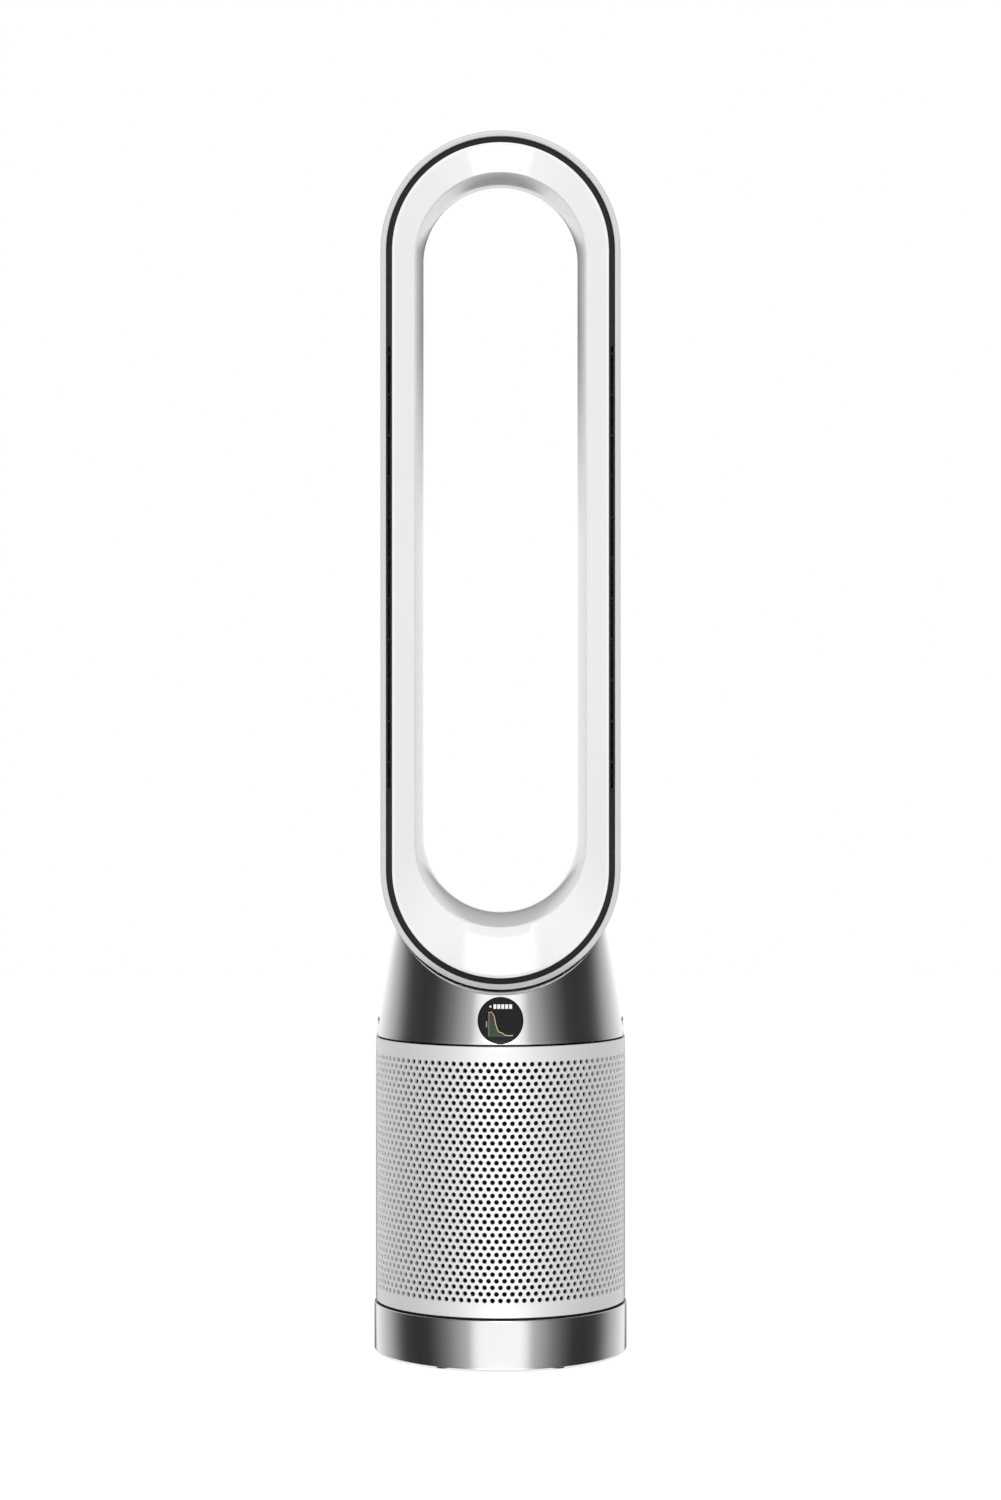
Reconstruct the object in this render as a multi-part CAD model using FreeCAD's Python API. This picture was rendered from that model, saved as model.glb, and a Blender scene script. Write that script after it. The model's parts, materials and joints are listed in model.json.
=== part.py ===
"""Bladeless tower fan with a round air purifier body, one STEP file for each sub-part, in millimetres.

Frame: +Z is up, the front faces -Y, and the origin is on the floor, under the swivel axis.
"""

import FreeCAD
import Part
import math
import os

Vector = FreeCAD.Vector
ORIGIN = Vector(0, 0, 0)
X_AXIS = Vector(1, 0, 0)
Y_AXIS = Vector(0, 1, 0)
Z_AXIS = Vector(0, 0, 1)

# Clearances
RUN_FIT = 0.08  # radial gap of a shaft in its bearing
SLIP_FIT = 0.15  # gap between pieces pushed together by hand
MOVE_GAP = 0.4  # gap between pieces that move past each other
SEAM = 0.6  # seam between the front and rear covers
OVERSHOOT = 1.0  # how far a cutting solid runs past the face that it cuts

# Base
SKIRT_PROUD = 1.1  # skirt outside the covers above it
SKIRT_HEIGHT = 41.0
SKIRT_WALL = 2.5
SKIRT_EDGE = 0.8  # rounding of the skirt's edges
FOOT_DROP = 2.5  # how far the feet hold the skirt off the floor
FOOT_RADIUS = 6.5
FOOT_STEM_RADIUS = 3.0
FOOT_COUNT = 6
FOOT_INSET = 12.5  # foot centre from the skirt's outer face
PLATE_RISE = 1.5  # base plate above the skirt's lower edge
PLATE_THICKNESS = 3.0
BALLAST_INNER_RADIUS = 40.0
BALLAST_THICKNESS = 4.0
BALLAST_INSET = 16.0  # ballast edge inside the base plate's edge
HUB_RADIUS = 26.0
HUB_WALL = 6.0
BOARD_THICKNESS = 1.6

# Cable gland at the back of the base
GLAND_BORE_RADIUS = 3.6
GLAND_RADIUS = 7.0
GLAND_FLANGE_RADIUS = 9.0
GLAND_FLANGE_THICKNESS = 2.0
GLAND_LENGTH = 14.0
GLAND_RISE = 17.0  # gland axis above the skirt's lower edge

# Swivel drive
GEAR_MODULE = 1.5
GEAR_TEETH = 48
PINION_TEETH = 12
PRESSURE_ANGLE = 25.0
GEAR_BACKLASH = 0.25
GEAR_WIDTH = 8.0
GEAR_RISE = 12.0  # lower face of the teeth above the base plate
GLIDE_WALL = 2.3
GLIDE_FLANGE_INSET = 0.7  # glide ring's flange inside the pitch circle of the gear that it lies on
TURNTABLE_THICKNESS = 4.0
TURNTABLE_DROP = 1.5  # turntable's top face below the skirt's upper edge
TURNTABLE_RIM = 3.0  # height of the rim that carries the cage
TURNTABLE_RIM_WIDTH = 11.0
RETAINER_THICKNESS = 2.0
RETAINER_OVERLAP = 6.0
SWIVEL_MOTOR_RADIUS = 14.0
SWIVEL_MOTOR_HEIGHT = 17.0
SWIVEL_MOTOR_EAR = 1.5  # thickness of the motor's strap and ears
SWIVEL_SHAFT_RADIUS = 2.4

# Perforated covers
SWIVEL_GAP = 2.0  # gap between the skirt and the covers above it
COVER_RADIUS = 108.4
COVER_HEIGHT = 227.0
COVER_SKIN = 2.2
COVER_FRAME = 2.0
COVER_RAIL_HEIGHT = 5.0
COVER_STILE_WIDTH = 9.0
TAB_HEIGHT = 3.4
TAB_LENGTH = 5.0
TAB_REACH = 4.2

# Filter cage
CAGE_FLOOR = 4.0
CAGE_TOP = 4.0
CAGE_TOP_DROP = 4.5  # upper face of the cage below the covers' upper edge
CAGE_EDGE_GAP = 0.6  # cage edge inside the covers' frames
CAGE_RING_GAP = 2.0  # cage ring and posts inside the filters
CAGE_RING_WALL = 4.0
CAGE_RING_HEIGHT = 4.0
CAGE_RIBS = 10
CAGE_RIB_WIDTH = 3.0
SPINE_WIDTH = 11.0

# Filters
FILTER_EDGE_GAP = 3.2  # filter inside the covers' frames
FILTER_DEPTH = 31.0
FILTER_END_GAP = 1.0  # filter above the cage floor and beside the spines
FILTER_TOP_GAP = 3.0
FILTER_PLATE = 4.0
FILTER_POST = 3.0
PLEAT_COUNT = 40
PLEAT_DEPTH = 12.0
PLEAT_RADIAL_THICKNESS = 2.0
PLEAT_INSET = 2.0
CARBON_THICKNESS = 7.0
CARBON_INSET = 4.0

# Impeller bucket and motor
BUCKET_RADIUS = 58.0
BUCKET_WALL = 3.0
BUCKET_FLANGE = 14.0
BUCKET_FLANGE_THICKNESS = 3.0
MOUNT_RADIUS = 5.0
MOUNT_HEIGHT = 4.0
MOUNT_COUNT = 4
INLET_RISE = 50.0  # bucket's lower edge above the cage floor
BELL_THROAT_RADIUS = 40.0
BELL_ROUND = 9.0
BELL_WALL = 2.0
IMPELLER_HEIGHT = 34.0
IMPELLER_EYE_RADIUS = 13.0
IMPELLER_TIP_GAP = 0.8
IMPELLER_BLADES = 9
BLADE_PITCH = 50.0
BLADE_THICKNESS = 1.6
MOTOR_SHAFT_RADIUS = 3.0
MOTOR_RADIUS = 34.0
MOTOR_HEIGHT = 50.0
MOTOR_WALL = 2.4
BEARING_RADIUS = 8.0
BEARING_WIDTH = 5.0
MAGNET_RADIUS = 12.0
STATOR_HEIGHT = 26.0
STATOR_YOKE = 4.0
STATOR_TEETH = 6
STATOR_TOOTH_WIDTH = 6.0
AIR_GAP = 0.8
VANE_COUNT = 11
VANE_THICKNESS = 1.6
VANE_TILT = 15.0
VANE_HUB_WALL = 4.0  # vanes' hub around the motor, as wide as the top of the impeller's hub
TAIL_HEIGHT = 46.0
TAIL_TIP_RADIUS = 5.0

# Collar
COLLAR_GAP = 1.5
COLLAR_STEP = 0.6  # collar's lower edge inside the covers below it
COLLAR_WALL = 2.6
COLLAR_HEIGHT = 100.0  # height of the collar's cone before the loop's seat is cut out of it
COLLAR_SIDE_LEAN = 0.1475  # narrowing at the lower edge, mm for each mm of height
COLLAR_SIDE_BEND = 0.00032
COLLAR_FRONT_LEAN = 0.30
COLLAR_FRONT_BEND = 0.0020
COLLAR_SECTIONS = 6
SADDLE_GAP = 1.0
SADDLE_WALL = 2.5
SADDLE_DEPTH = 42.0  # loop's lowest point above the collar's lower edge
PORT_WIDTH = 84.0
PORT_DEPTH = 58.0
DUCT_WALL = 2.4
GASKET_BORDER = 6.0
SEAL_THICKNESS = 3.0

# Display, sensor and buttons
DISPLAY_RADIUS = 19.15
DISPLAY_RISE = 20.0  # display centre above the collar's lower edge
LENS_THICKNESS = 1.8
BUTTON_RISE = 10.0
BUTTON_LENGTH = 24.0
BUTTON_HEIGHT = 9.0
BUTTON_PROUD = 0.1
CATCH_THICKNESS = 2.4
SPRING_LENGTH = 9.0
STANDBY_RADIUS = 6.0
STANDBY_RISE = 18.0
STANDBY_TRAVEL = 0.8
VENT_LENGTH = 32.0
VENT_HEIGHT = 10.0
VENT_RISE = 18.0
VENT_ANGLE = 118.0
VENT_SLOTS = 7
VENT_SLOT_WIDTH = 1.6

# Loop
LOOP_WIDTH = 205.0
LOOP_HEIGHT = 734.0
LOOP_DEPTH = 105.0
LOOP_WALL = 2.6
LOOP_RIM = 4.7  # width of the outer shell's front rim
LOOP_RIM_DEPTH = 4.0
LOOP_BACK_ROUND = 12.0
SLOT_WIDTH = 5.1  # from the outer shell's rim to the inner shell's lip
LIP_STEP = 1.0  # inner shell's lip behind the outer shell's rim
LIP_WIDTH = 2.0  # flat lip of the inner shell, outside the bevel
LIP_DEPTH = 7.0
BEVEL_WALL = 4.0
BEVEL_DEPTH = 9.5  # from the rim's plane to the front edge of the opening
FRONT_INSET = (29.2, 52.5, 34.5)  # opening's side, lower and upper insets at the front
THROAT_INSET = (35.0, 63.0, 33.4)
BACK_INSET = (34.0, 61.7, 31.4)
THROAT_BEHIND = 15.0  # throat behind the swivel axis
TRIM_THICKNESS = 4.0
AIR_SLOT_WIDTH = 1.9
AIR_SLOT_LENGTH = 378.0
AIR_SLOT_RISE = 172.0  # lower end of the air slots above the loop's lowest point
WEB_PITCH = 34.9
WEB_WIDTH = 1.4
WEB_RISE = 22.0  # first web above the slots' lower end
MAGNET_DISC_RADIUS = 5.0
MAGNET_DISC_THICKNESS = 3.0
MAGNET_SPREAD = 44.0

# Screws
SCREW_RADIUS = 1.5
SCREW_HEAD_RADIUS = 3.0
SCREW_HEAD_HEIGHT = 2.2
SCREW_LENGTH = 10.0
BOSS_RADIUS = 4.0

# Levels and radii that follow from the sizes above
SKIRT_RADIUS = COVER_RADIUS + SKIRT_PROUD
SKIRT_Z0 = FOOT_DROP
SKIRT_Z1 = SKIRT_Z0 + SKIRT_HEIGHT
PLATE_Z0 = SKIRT_Z0 + PLATE_RISE
PLATE_Z1 = PLATE_Z0 + PLATE_THICKNESS
PLATE_RADIUS = SKIRT_RADIUS - SKIRT_WALL - SLIP_FIT
FOOT_CIRCLE = SKIRT_RADIUS - FOOT_INSET
BALLAST_Z1 = PLATE_Z1 + BALLAST_THICKNESS
GEAR_Z0 = PLATE_Z1 + GEAR_RISE
GEAR_Z1 = GEAR_Z0 + GEAR_WIDTH
GEAR_PITCH_RADIUS = GEAR_MODULE * GEAR_TEETH / 2
PINION_PITCH_RADIUS = GEAR_MODULE * PINION_TEETH / 2
GEAR_CENTRES = GEAR_PITCH_RADIUS + PINION_PITCH_RADIUS
TURNTABLE_Z1 = SKIRT_Z1 - TURNTABLE_DROP
TURNTABLE_Z0 = TURNTABLE_Z1 - TURNTABLE_THICKNESS
TURNTABLE_RADIUS = PLATE_RADIUS - 2 * MOVE_GAP
GLIDE_RADIUS = HUB_RADIUS + GLIDE_WALL
SLEEVE_RADIUS = GLIDE_RADIUS + RUN_FIT
HUB_Z1 = TURNTABLE_Z1 + RUN_FIT
RETAINER_RADIUS = SLEEVE_RADIUS + RETAINER_OVERLAP
MOTOR_CAN_Z0 = HUB_Z1 + RETAINER_THICKNESS + MOVE_GAP  # swivel motor, above the washer
COVER_Z0 = SKIRT_Z1 + SWIVEL_GAP
COVER_Z1 = COVER_Z0 + COVER_HEIGHT
COVER_INNER_RADIUS = COVER_RADIUS - COVER_SKIN
FRAME_INNER_RADIUS = COVER_INNER_RADIUS - COVER_FRAME
CAGE_Z0 = TURNTABLE_Z1 + TURNTABLE_RIM
CAGE_FLOOR_Z1 = CAGE_Z0 + CAGE_FLOOR
CAGE_Z1 = COVER_Z1 - CAGE_TOP_DROP
CAGE_TOP_Z0 = CAGE_Z1 - CAGE_TOP
CAGE_RADIUS = FRAME_INNER_RADIUS - CAGE_EDGE_GAP
SPINE_RADIUS = CAGE_RADIUS
FILTER_RADIUS = FRAME_INNER_RADIUS - FILTER_EDGE_GAP
FILTER_INNER_RADIUS = FILTER_RADIUS - FILTER_DEPTH
CAGE_RING_RADIUS = FILTER_INNER_RADIUS - CAGE_RING_GAP
FILTER_Z0 = CAGE_FLOOR_Z1 + FILTER_END_GAP
FILTER_Z1 = CAGE_TOP_Z0 - FILTER_TOP_GAP
FILTER_END_Y = SPINE_WIDTH / 2 + FILTER_END_GAP
BUCKET_INNER_RADIUS = BUCKET_RADIUS - BUCKET_WALL
VANE_HUB_RADIUS = MOTOR_RADIUS + VANE_HUB_WALL
BUCKET_Z0 = CAGE_FLOOR_Z1 + INLET_RISE
BUCKET_FLANGE_Z0 = CAGE_Z1 + MOUNT_HEIGHT
BUCKET_Z1 = BUCKET_FLANGE_Z0 + BUCKET_FLANGE_THICKNESS
IMPELLER_Z0 = BUCKET_Z0 + BELL_WALL + 2 * MOVE_GAP
IMPELLER_Z1 = IMPELLER_Z0 + IMPELLER_HEIGHT
MOTOR_Z0 = IMPELLER_Z1 + 2 * MOVE_GAP
MOTOR_Z1 = MOTOR_Z0 + MOTOR_HEIGHT
MOTOR_PLATE = BEARING_WIDTH + MOTOR_WALL
COLLAR_RADIUS = COVER_RADIUS - COLLAR_STEP
COLLAR_Z0 = COVER_Z1 + COLLAR_GAP
LOOP_Z0 = COLLAR_Z0 + SADDLE_DEPTH
LOOP_Z1 = LOOP_Z0 + LOOP_HEIGHT
LOOP_RADIUS = LOOP_WIDTH / 2
LOOP_FRONT_Y = -LOOP_DEPTH / 2
LOOP_BACK_Y = LOOP_DEPTH / 2
ARC_CENTRE_Z = LOOP_Z0 + LOOP_RADIUS
SADDLE_RADIUS = LOOP_RADIUS + SADDLE_GAP
LIP_INSET = LOOP_RIM + SLOT_WIDTH
TRIM_FRONT_Y = LOOP_FRONT_Y + LOOP_RIM_DEPTH


# ---- Helpers ----
def rod(radius, z0, z1, x=0.0, y=0.0):
    """Upright cylinder."""
    return Part.makeCylinder(radius, z1 - z0, Vector(x, y, z0))


def tube(outer, inner, z0, z1, x=0.0, y=0.0):
    """Upright tube."""
    return rod(outer, z0, z1, x, y).cut(rod(inner, z0, z1, x, y))


def block(x0, x1, y0, y1, z0, z1):
    """Box between two corners."""
    return Part.makeBox(x1 - x0, y1 - y0, z1 - z0, Vector(x0, y0, z0))


def turned(shape, degrees):
    """Copy of a shape, turned about the swivel axis."""
    copy = shape.copy()
    copy.rotate(ORIGIN, Z_AXIS, degrees)
    return copy


def moved(shape, x=0.0, y=0.0, z=0.0):
    """Copy of a shape, shifted."""
    copy = shape.copy()
    copy.translate(Vector(x, y, z))
    return copy


def around(shape, count, start=0.0):
    """Copies of a shape, evenly spaced about the swivel axis."""
    return [turned(shape, start + 360.0 * i / count) for i in range(count)]


def joined(shapes):
    """One solid made of several that overlap or touch."""
    return shapes[0].multiFuse(shapes[1:]).removeSplitter()


def group(shapes):
    """Separate solids in one shape."""
    return Part.makeCompound(shapes)


def polygon(points):
    """Face inside straight edges through the points."""
    return Part.Face(Part.makePolygon([*points, points[0]]))


def revolved(profile):
    """Solid of revolution about the Z axis, from (radius, height) corners."""
    face = polygon([Vector(r, 0, z) for r, z in profile])
    return face.revolve(ORIGIN, Z_AXIS, 360)


def screw(x, y, z, up, length=SCREW_LENGTH):
    """Pan-head screw with a cross recess. z is the seat of its head, and up is the way it points."""
    head = Part.makeCylinder(SCREW_HEAD_RADIUS, SCREW_HEAD_HEIGHT, ORIGIN, Vector(0, 0, -1))
    shank = Part.makeCylinder(SCREW_RADIUS, length)
    body = head.fuse(shank).removeSplitter()
    half = 0.4
    depth = 1.2
    reach = 0.6 * SCREW_HEAD_RADIUS
    low = -SCREW_HEAD_HEIGHT
    body = body.cut(block(-reach, reach, -half, half, low, low + depth))
    body = body.cut(block(-half, half, -reach, reach, low, low + depth))
    if not up:
        body.rotate(ORIGIN, X_AXIS, 180)
    body.translate(Vector(x, y, z))
    return body


def screw_hole(x, y, z0, z1):
    """Hole that a screw's shank passes through or bites into."""
    return rod(SCREW_RADIUS + SLIP_FIT, z0, z1, x, y)


def polar(radius, degrees):
    """(x, y) of a point at an angle from +X."""
    return radius * math.cos(math.radians(degrees)), radius * math.sin(math.radians(degrees))


def pill(length, height, x0, x1, z):
    """Rounded bar along X whose section is a pill, long in Y."""
    half = (length - height) / 2
    ends = [
        Part.makeCylinder(height / 2, x1 - x0, Vector(x0, side * half, z), X_AXIS)
        for side in (-1, 1)
    ]
    return joined([block(x0, x1, -half, half, z - height / 2, z + height / 2), *ends])


# ---- Base ----
def base_screw_points():
    """(x, y) of each screw that holds the base plate to the skirt."""
    return [polar(SKIRT_RADIUS - SKIRT_WALL - BOSS_RADIUS, 45.0 + 90.0 * i) for i in range(4)]


def gland_axis_z():
    """Height of the cable gland's axis."""
    return SKIRT_Z0 + GLAND_RISE


def base_skirt():
    """Bright outer ring of the base, with the bosses that the base plate screws into."""
    skirt = tube(SKIRT_RADIUS, SKIRT_RADIUS - SKIRT_WALL, SKIRT_Z0, SKIRT_Z1)
    outer_edges = [
        edge for edge in skirt.Edges
        if edge.Closed and abs(edge.BoundBox.XMax - SKIRT_RADIUS) < 0.01
    ]
    skirt = skirt.makeFillet(SKIRT_EDGE, outer_edges)
    boss_top = PLATE_Z1 + SCREW_LENGTH
    bosses = [rod(BOSS_RADIUS + SLIP_FIT, PLATE_Z1, boss_top, x, y) for x, y in base_screw_points()]
    skirt = joined([skirt, *bosses])
    for x, y in base_screw_points():
        skirt = skirt.cut(screw_hole(x, y, PLATE_Z1, boss_top))
    start = Vector(0, SKIRT_RADIUS + SKIRT_WALL / 2, gland_axis_z())
    window = Part.makeCylinder(GLAND_RADIUS + SLIP_FIT, 2 * SKIRT_WALL, start, -Y_AXIS)
    return skirt.cut(window)


def foot_points():
    """(x, y) of each foot."""
    return [polar(FOOT_CIRCLE, 360.0 * i / FOOT_COUNT) for i in range(FOOT_COUNT)]


def base_plate():
    """Bottom plate with the hub that the upper body turns on."""
    plate = rod(PLATE_RADIUS, PLATE_Z0, PLATE_Z1)
    hub = rod(HUB_RADIUS, PLATE_Z1, HUB_Z1)
    plate = plate.fuse(hub).removeSplitter()
    plate = plate.cut(rod(HUB_RADIUS - HUB_WALL, PLATE_Z0, HUB_Z1))
    for x, y in foot_points():
        plate = plate.cut(rod(FOOT_STEM_RADIUS + SLIP_FIT, PLATE_Z0, PLATE_Z1, x, y))
    for x, y in base_screw_points():
        plate = plate.cut(screw_hole(x, y, PLATE_Z0, PLATE_Z1))
    for x, y in retainer_screw_points():
        plate = plate.cut(screw_hole(x, y, HUB_Z1 - SCREW_LENGTH, HUB_Z1))
    return plate


def rubber_feet():
    """Round feet, pushed into the base plate by their stems."""
    feet = []
    for x, y in foot_points():
        pad = Part.makeCone(FOOT_RADIUS - 1.0, FOOT_RADIUS, PLATE_Z0, Vector(x, y, 0))
        stem = rod(FOOT_STEM_RADIUS, PLATE_Z0, PLATE_Z1 - SLIP_FIT, x, y)
        feet.append(pad.fuse(stem).removeSplitter())
    return group(feet)


def ballast_plate():
    """Steel ring that keeps the tall body from tipping."""
    ring = tube(PLATE_RADIUS - BALLAST_INSET, BALLAST_INNER_RADIUS, PLATE_Z1, BALLAST_Z1)
    for x, y in foot_points():
        ring = ring.cut(rod(FOOT_RADIUS, PLATE_Z1, BALLAST_Z1, x, y))
    return ring


def base_screws():
    """Screws in the base plate from below, and in the washer on top of the hub."""
    lower = [screw(x, y, PLATE_Z0, True) for x, y in base_screw_points()]
    upper = [screw(x, y, HUB_Z1 + RETAINER_THICKNESS, False) for x, y in retainer_screw_points()]
    return group(lower + upper)


def cable_gland():
    """Grommet at the back of the base, with the bore that the mains lead passes through."""
    outer_y = SKIRT_RADIUS
    flange_y = SKIRT_RADIUS - SKIRT_WALL - SLIP_FIT
    centre = Vector(0, outer_y, gland_axis_z())
    body = Part.makeCylinder(GLAND_RADIUS, GLAND_LENGTH, centre, -Y_AXIS)
    flange_start = Vector(0, flange_y - GLAND_RADIUS**2 / SKIRT_RADIUS, gland_axis_z())
    flange = Part.makeCylinder(GLAND_FLANGE_RADIUS, GLAND_FLANGE_THICKNESS, flange_start, -Y_AXIS)
    body = body.fuse(flange).removeSplitter()
    body = body.common(rod(SKIRT_RADIUS, PLATE_Z1, SKIRT_Z1))
    bore = Part.makeCylinder(GLAND_BORE_RADIUS, GLAND_LENGTH + 2 * OVERSHOOT, centre + Y_AXIS, -Y_AXIS)
    return body.cut(bore)


def supply_board():
    """Mains supply board, on its standoffs above the ballast."""
    y0 = GEAR_CENTRES + PINION_PITCH_RADIUS + GEAR_MODULE + 5 * MOVE_GAP
    y1 = PLATE_RADIUS - BALLAST_INSET - 2 * BOSS_RADIUS
    z0 = BALLAST_Z1 + 2.0
    z1 = z0 + BOARD_THICKNESS
    half = 30.0
    board = block(-half, half, -y1, -y0, z0, z1)
    corners = [(x, y) for x in (-0.8 * half, 0.8 * half) for y in (-y0 - 4, -y1 + 4)]
    stands = [rod(BOSS_RADIUS / 2, BALLAST_Z1, z0, x, y) for x, y in corners]
    parts = [
        block(-24, -6, -y1 + 3, -y0 - 3, z1, z1 + 12),
        block(10, 26, -y1 + 4, -y1 + 12, z1, z1 + 8),
        rod(5.0, z1, z1 + 13, 4, -y0 - 8),
        rod(4.0, z1, z1 + 10, 17, -y0 - 7),
    ]
    return joined([board, *stands, *parts])


# ---- Swivel ----
def involute(angle):
    """Involute function of a pressure angle in radians."""
    return math.tan(angle) - angle


def gear_face(teeth, z, first_tooth):
    """Spur gear outline at a height. first_tooth is the angle in degrees of one tooth's middle."""
    pitch = GEAR_MODULE * teeth / 2
    pressure = math.radians(PRESSURE_ANGLE)
    base = pitch * math.cos(pressure)
    tip = pitch + GEAR_MODULE
    root = pitch - 1.25 * GEAR_MODULE
    flank_start = max(base, root) + 0.01
    half_pitch = math.pi / (2 * teeth) - GEAR_BACKLASH / (2 * pitch)

    def half_tooth(radius):
        return half_pitch + involute(pressure) - involute(math.acos(base / radius))

    def at(radius, angle):
        return Vector(radius * math.cos(angle), radius * math.sin(angle), z)

    steps = [flank_start + (tip - flank_start) * i / 4 for i in range(5)]
    edges = []
    for number in range(teeth):
        middle = math.radians(first_tooth) + 2 * math.pi * number / teeth
        following = middle + 2 * math.pi / teeth
        rising = [at(r, middle - half_tooth(r)) for r in steps]
        falling = [at(r, middle + half_tooth(r)) for r in reversed(steps)]
        root_angle = half_tooth(flank_start)
        for points in (rising, falling):
            curve = Part.BSplineCurve()
            curve.interpolate(points)
            edges.append(curve.toShape())
        edges.insert(-1, Part.Arc(rising[-1], at(tip, middle), falling[0]).toShape())
        foot_out = at(root, middle + root_angle)
        foot_in = at(root, following - root_angle)
        edges.append(Part.LineSegment(falling[-1], foot_out).toShape())
        edges.append(Part.Arc(foot_out, at(root, middle + math.pi / teeth), foot_in).toShape())
        edges.append(Part.LineSegment(foot_in, at(flank_start, following - root_angle)).toShape())
    return Part.Face(Part.Wire(edges))


def swivel_gear():
    """Fixed gear round the hub, that the pinion walks round."""
    teeth = gear_face(GEAR_TEETH, GEAR_Z0, 90.0).extrude(Vector(0, 0, GEAR_WIDTH))
    foot = rod(GEAR_PITCH_RADIUS - 3 * GEAR_MODULE, PLATE_Z1, GEAR_Z0)
    return joined([teeth, foot]).cut(rod(HUB_RADIUS + SLIP_FIT, PLATE_Z1, GEAR_Z1))


def drive_pinion():
    """Motor pinion, in mesh with the fixed gear."""
    first_tooth = -90.0 + 180.0 / PINION_TEETH
    teeth = gear_face(PINION_TEETH, GEAR_Z0, first_tooth).extrude(Vector(0, 0, GEAR_WIDTH))
    collar = rod(PINION_PITCH_RADIUS - 2 * GEAR_MODULE, GEAR_Z1, GEAR_Z1 + 4.0)
    pinion = joined([teeth, collar]).cut(rod(SWIVEL_SHAFT_RADIUS, GEAR_Z0, GEAR_Z1 + 4.0))
    return moved(pinion, y=GEAR_CENTRES)


def gearbox_shaft():
    """Output shaft of the swivel motor, that carries the pinion."""
    z1 = MOTOR_CAN_Z0 + SWIVEL_MOTOR_HEIGHT / 2
    return rod(SWIVEL_SHAFT_RADIUS, GEAR_Z0 - OVERSHOOT, z1, y=GEAR_CENTRES)


def glide_ring():
    """Slippery bush between the hub and the turntable."""
    sleeve = rod(GLIDE_RADIUS, GEAR_Z1, HUB_Z1)
    flange = rod(GEAR_PITCH_RADIUS - GLIDE_FLANGE_INSET, GEAR_Z1, GEAR_Z1 + GLIDE_WALL)
    return joined([sleeve, flange]).cut(rod(HUB_RADIUS + SLIP_FIT / 3, GEAR_Z1, HUB_Z1))


def turntable():
    """Disc that the whole upper body stands on, with the sleeve that turns on the glide ring."""
    disc = rod(TURNTABLE_RADIUS, TURNTABLE_Z0, TURNTABLE_Z1)
    sleeve_z0 = GEAR_Z1 + GLIDE_WALL + RUN_FIT
    sleeve = rod(SLEEVE_RADIUS + 4.0, sleeve_z0, TURNTABLE_Z0)
    rim = tube(TURNTABLE_RADIUS, TURNTABLE_RADIUS - TURNTABLE_RIM_WIDTH, TURNTABLE_Z1, CAGE_Z0)
    table = joined([disc, sleeve, rim])
    table = table.cut(rod(SLEEVE_RADIUS, sleeve_z0, TURNTABLE_Z1))
    table = table.cut(rod(SWIVEL_SHAFT_RADIUS + 1.5, TURNTABLE_Z0, TURNTABLE_Z1, y=GEAR_CENTRES))
    for x, y in motor_screw_points():
        table = table.cut(screw_hole(x, y, TURNTABLE_Z0, TURNTABLE_Z1))
    for x, y in cage_screw_points():
        table = table.cut(screw_hole(x, y, TURNTABLE_Z0, CAGE_Z0))
    return table


def retainer_screw_points():
    """(x, y) of the screws in the top of the hub."""
    return [polar(HUB_RADIUS - HUB_WALL / 2, 30.0 + 120.0 * i) for i in range(3)]


def swivel_retainer():
    """Washer on top of the hub that keeps the turntable down."""
    z1 = HUB_Z1 + RETAINER_THICKNESS
    washer = tube(RETAINER_RADIUS, HUB_RADIUS - HUB_WALL, HUB_Z1, z1)
    for x, y in retainer_screw_points():
        washer = washer.cut(screw_hole(x, y, HUB_Z1, z1))
    return washer


def motor_screw_points():
    """(x, y) of the swivel motor's two screws."""
    reach = SWIVEL_MOTOR_RADIUS + BOSS_RADIUS
    return [(-reach, GEAR_CENTRES), (reach, GEAR_CENTRES)]


def swivel_motor():
    """Geared stepper motor that stands on the turntable on its two ears, clear of the washer."""
    z0 = MOTOR_CAN_Z0
    z1 = z0 + SWIVEL_MOTOR_HEIGHT
    ear_z1 = z0 + SWIVEL_MOTOR_EAR
    reach = motor_screw_points()[1][0]
    can = rod(SWIVEL_MOTOR_RADIUS, z0, z1, y=GEAR_CENTRES)
    ears = [rod(BOSS_RADIUS, TURNTABLE_Z1, ear_z1, x, y) for x, y in motor_screw_points()]
    strap = block(-reach, reach, GEAR_CENTRES - BOSS_RADIUS, GEAR_CENTRES + BOSS_RADIUS, z0, ear_z1)
    plug = block(-6, 6, GEAR_CENTRES - SWIVEL_MOTOR_RADIUS - 3, GEAR_CENTRES, z0 + 4, z0 + 12)
    motor = joined([can, strap, plug, *ears])
    shaft_top = z0 + SWIVEL_MOTOR_HEIGHT / 2 + OVERSHOOT
    motor = motor.cut(rod(SWIVEL_SHAFT_RADIUS + RUN_FIT, z0, shaft_top, y=GEAR_CENTRES))
    for x, y in motor_screw_points():
        motor = motor.cut(screw_hole(x, y, TURNTABLE_Z1, ear_z1))
    return motor


# ---- Filter cage ----
def cage_screw_points():
    """(x, y) of the screws that hold the cage to the turntable."""
    radius = CAGE_RADIUS - BOSS_RADIUS
    return [polar(radius, 45.0 + 90.0 * i) for i in range(4)]


def collar_screw_points():
    """(x, y) of the screws that hold the collar to the cage."""
    radius = CAGE_RADIUS - 2 * BOSS_RADIUS
    return [polar(radius, 35.0), polar(radius, 145.0), polar(radius, 215.0), polar(radius, 325.0)]


def mount_points():
    """(x, y) of the rubber mounts under the bucket's flange."""
    radius = BUCKET_RADIUS + BUCKET_FLANGE - MOUNT_RADIUS - 1.0
    return [polar(radius, 45.0 + 360.0 * i / MOUNT_COUNT) for i in range(MOUNT_COUNT)]


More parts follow.
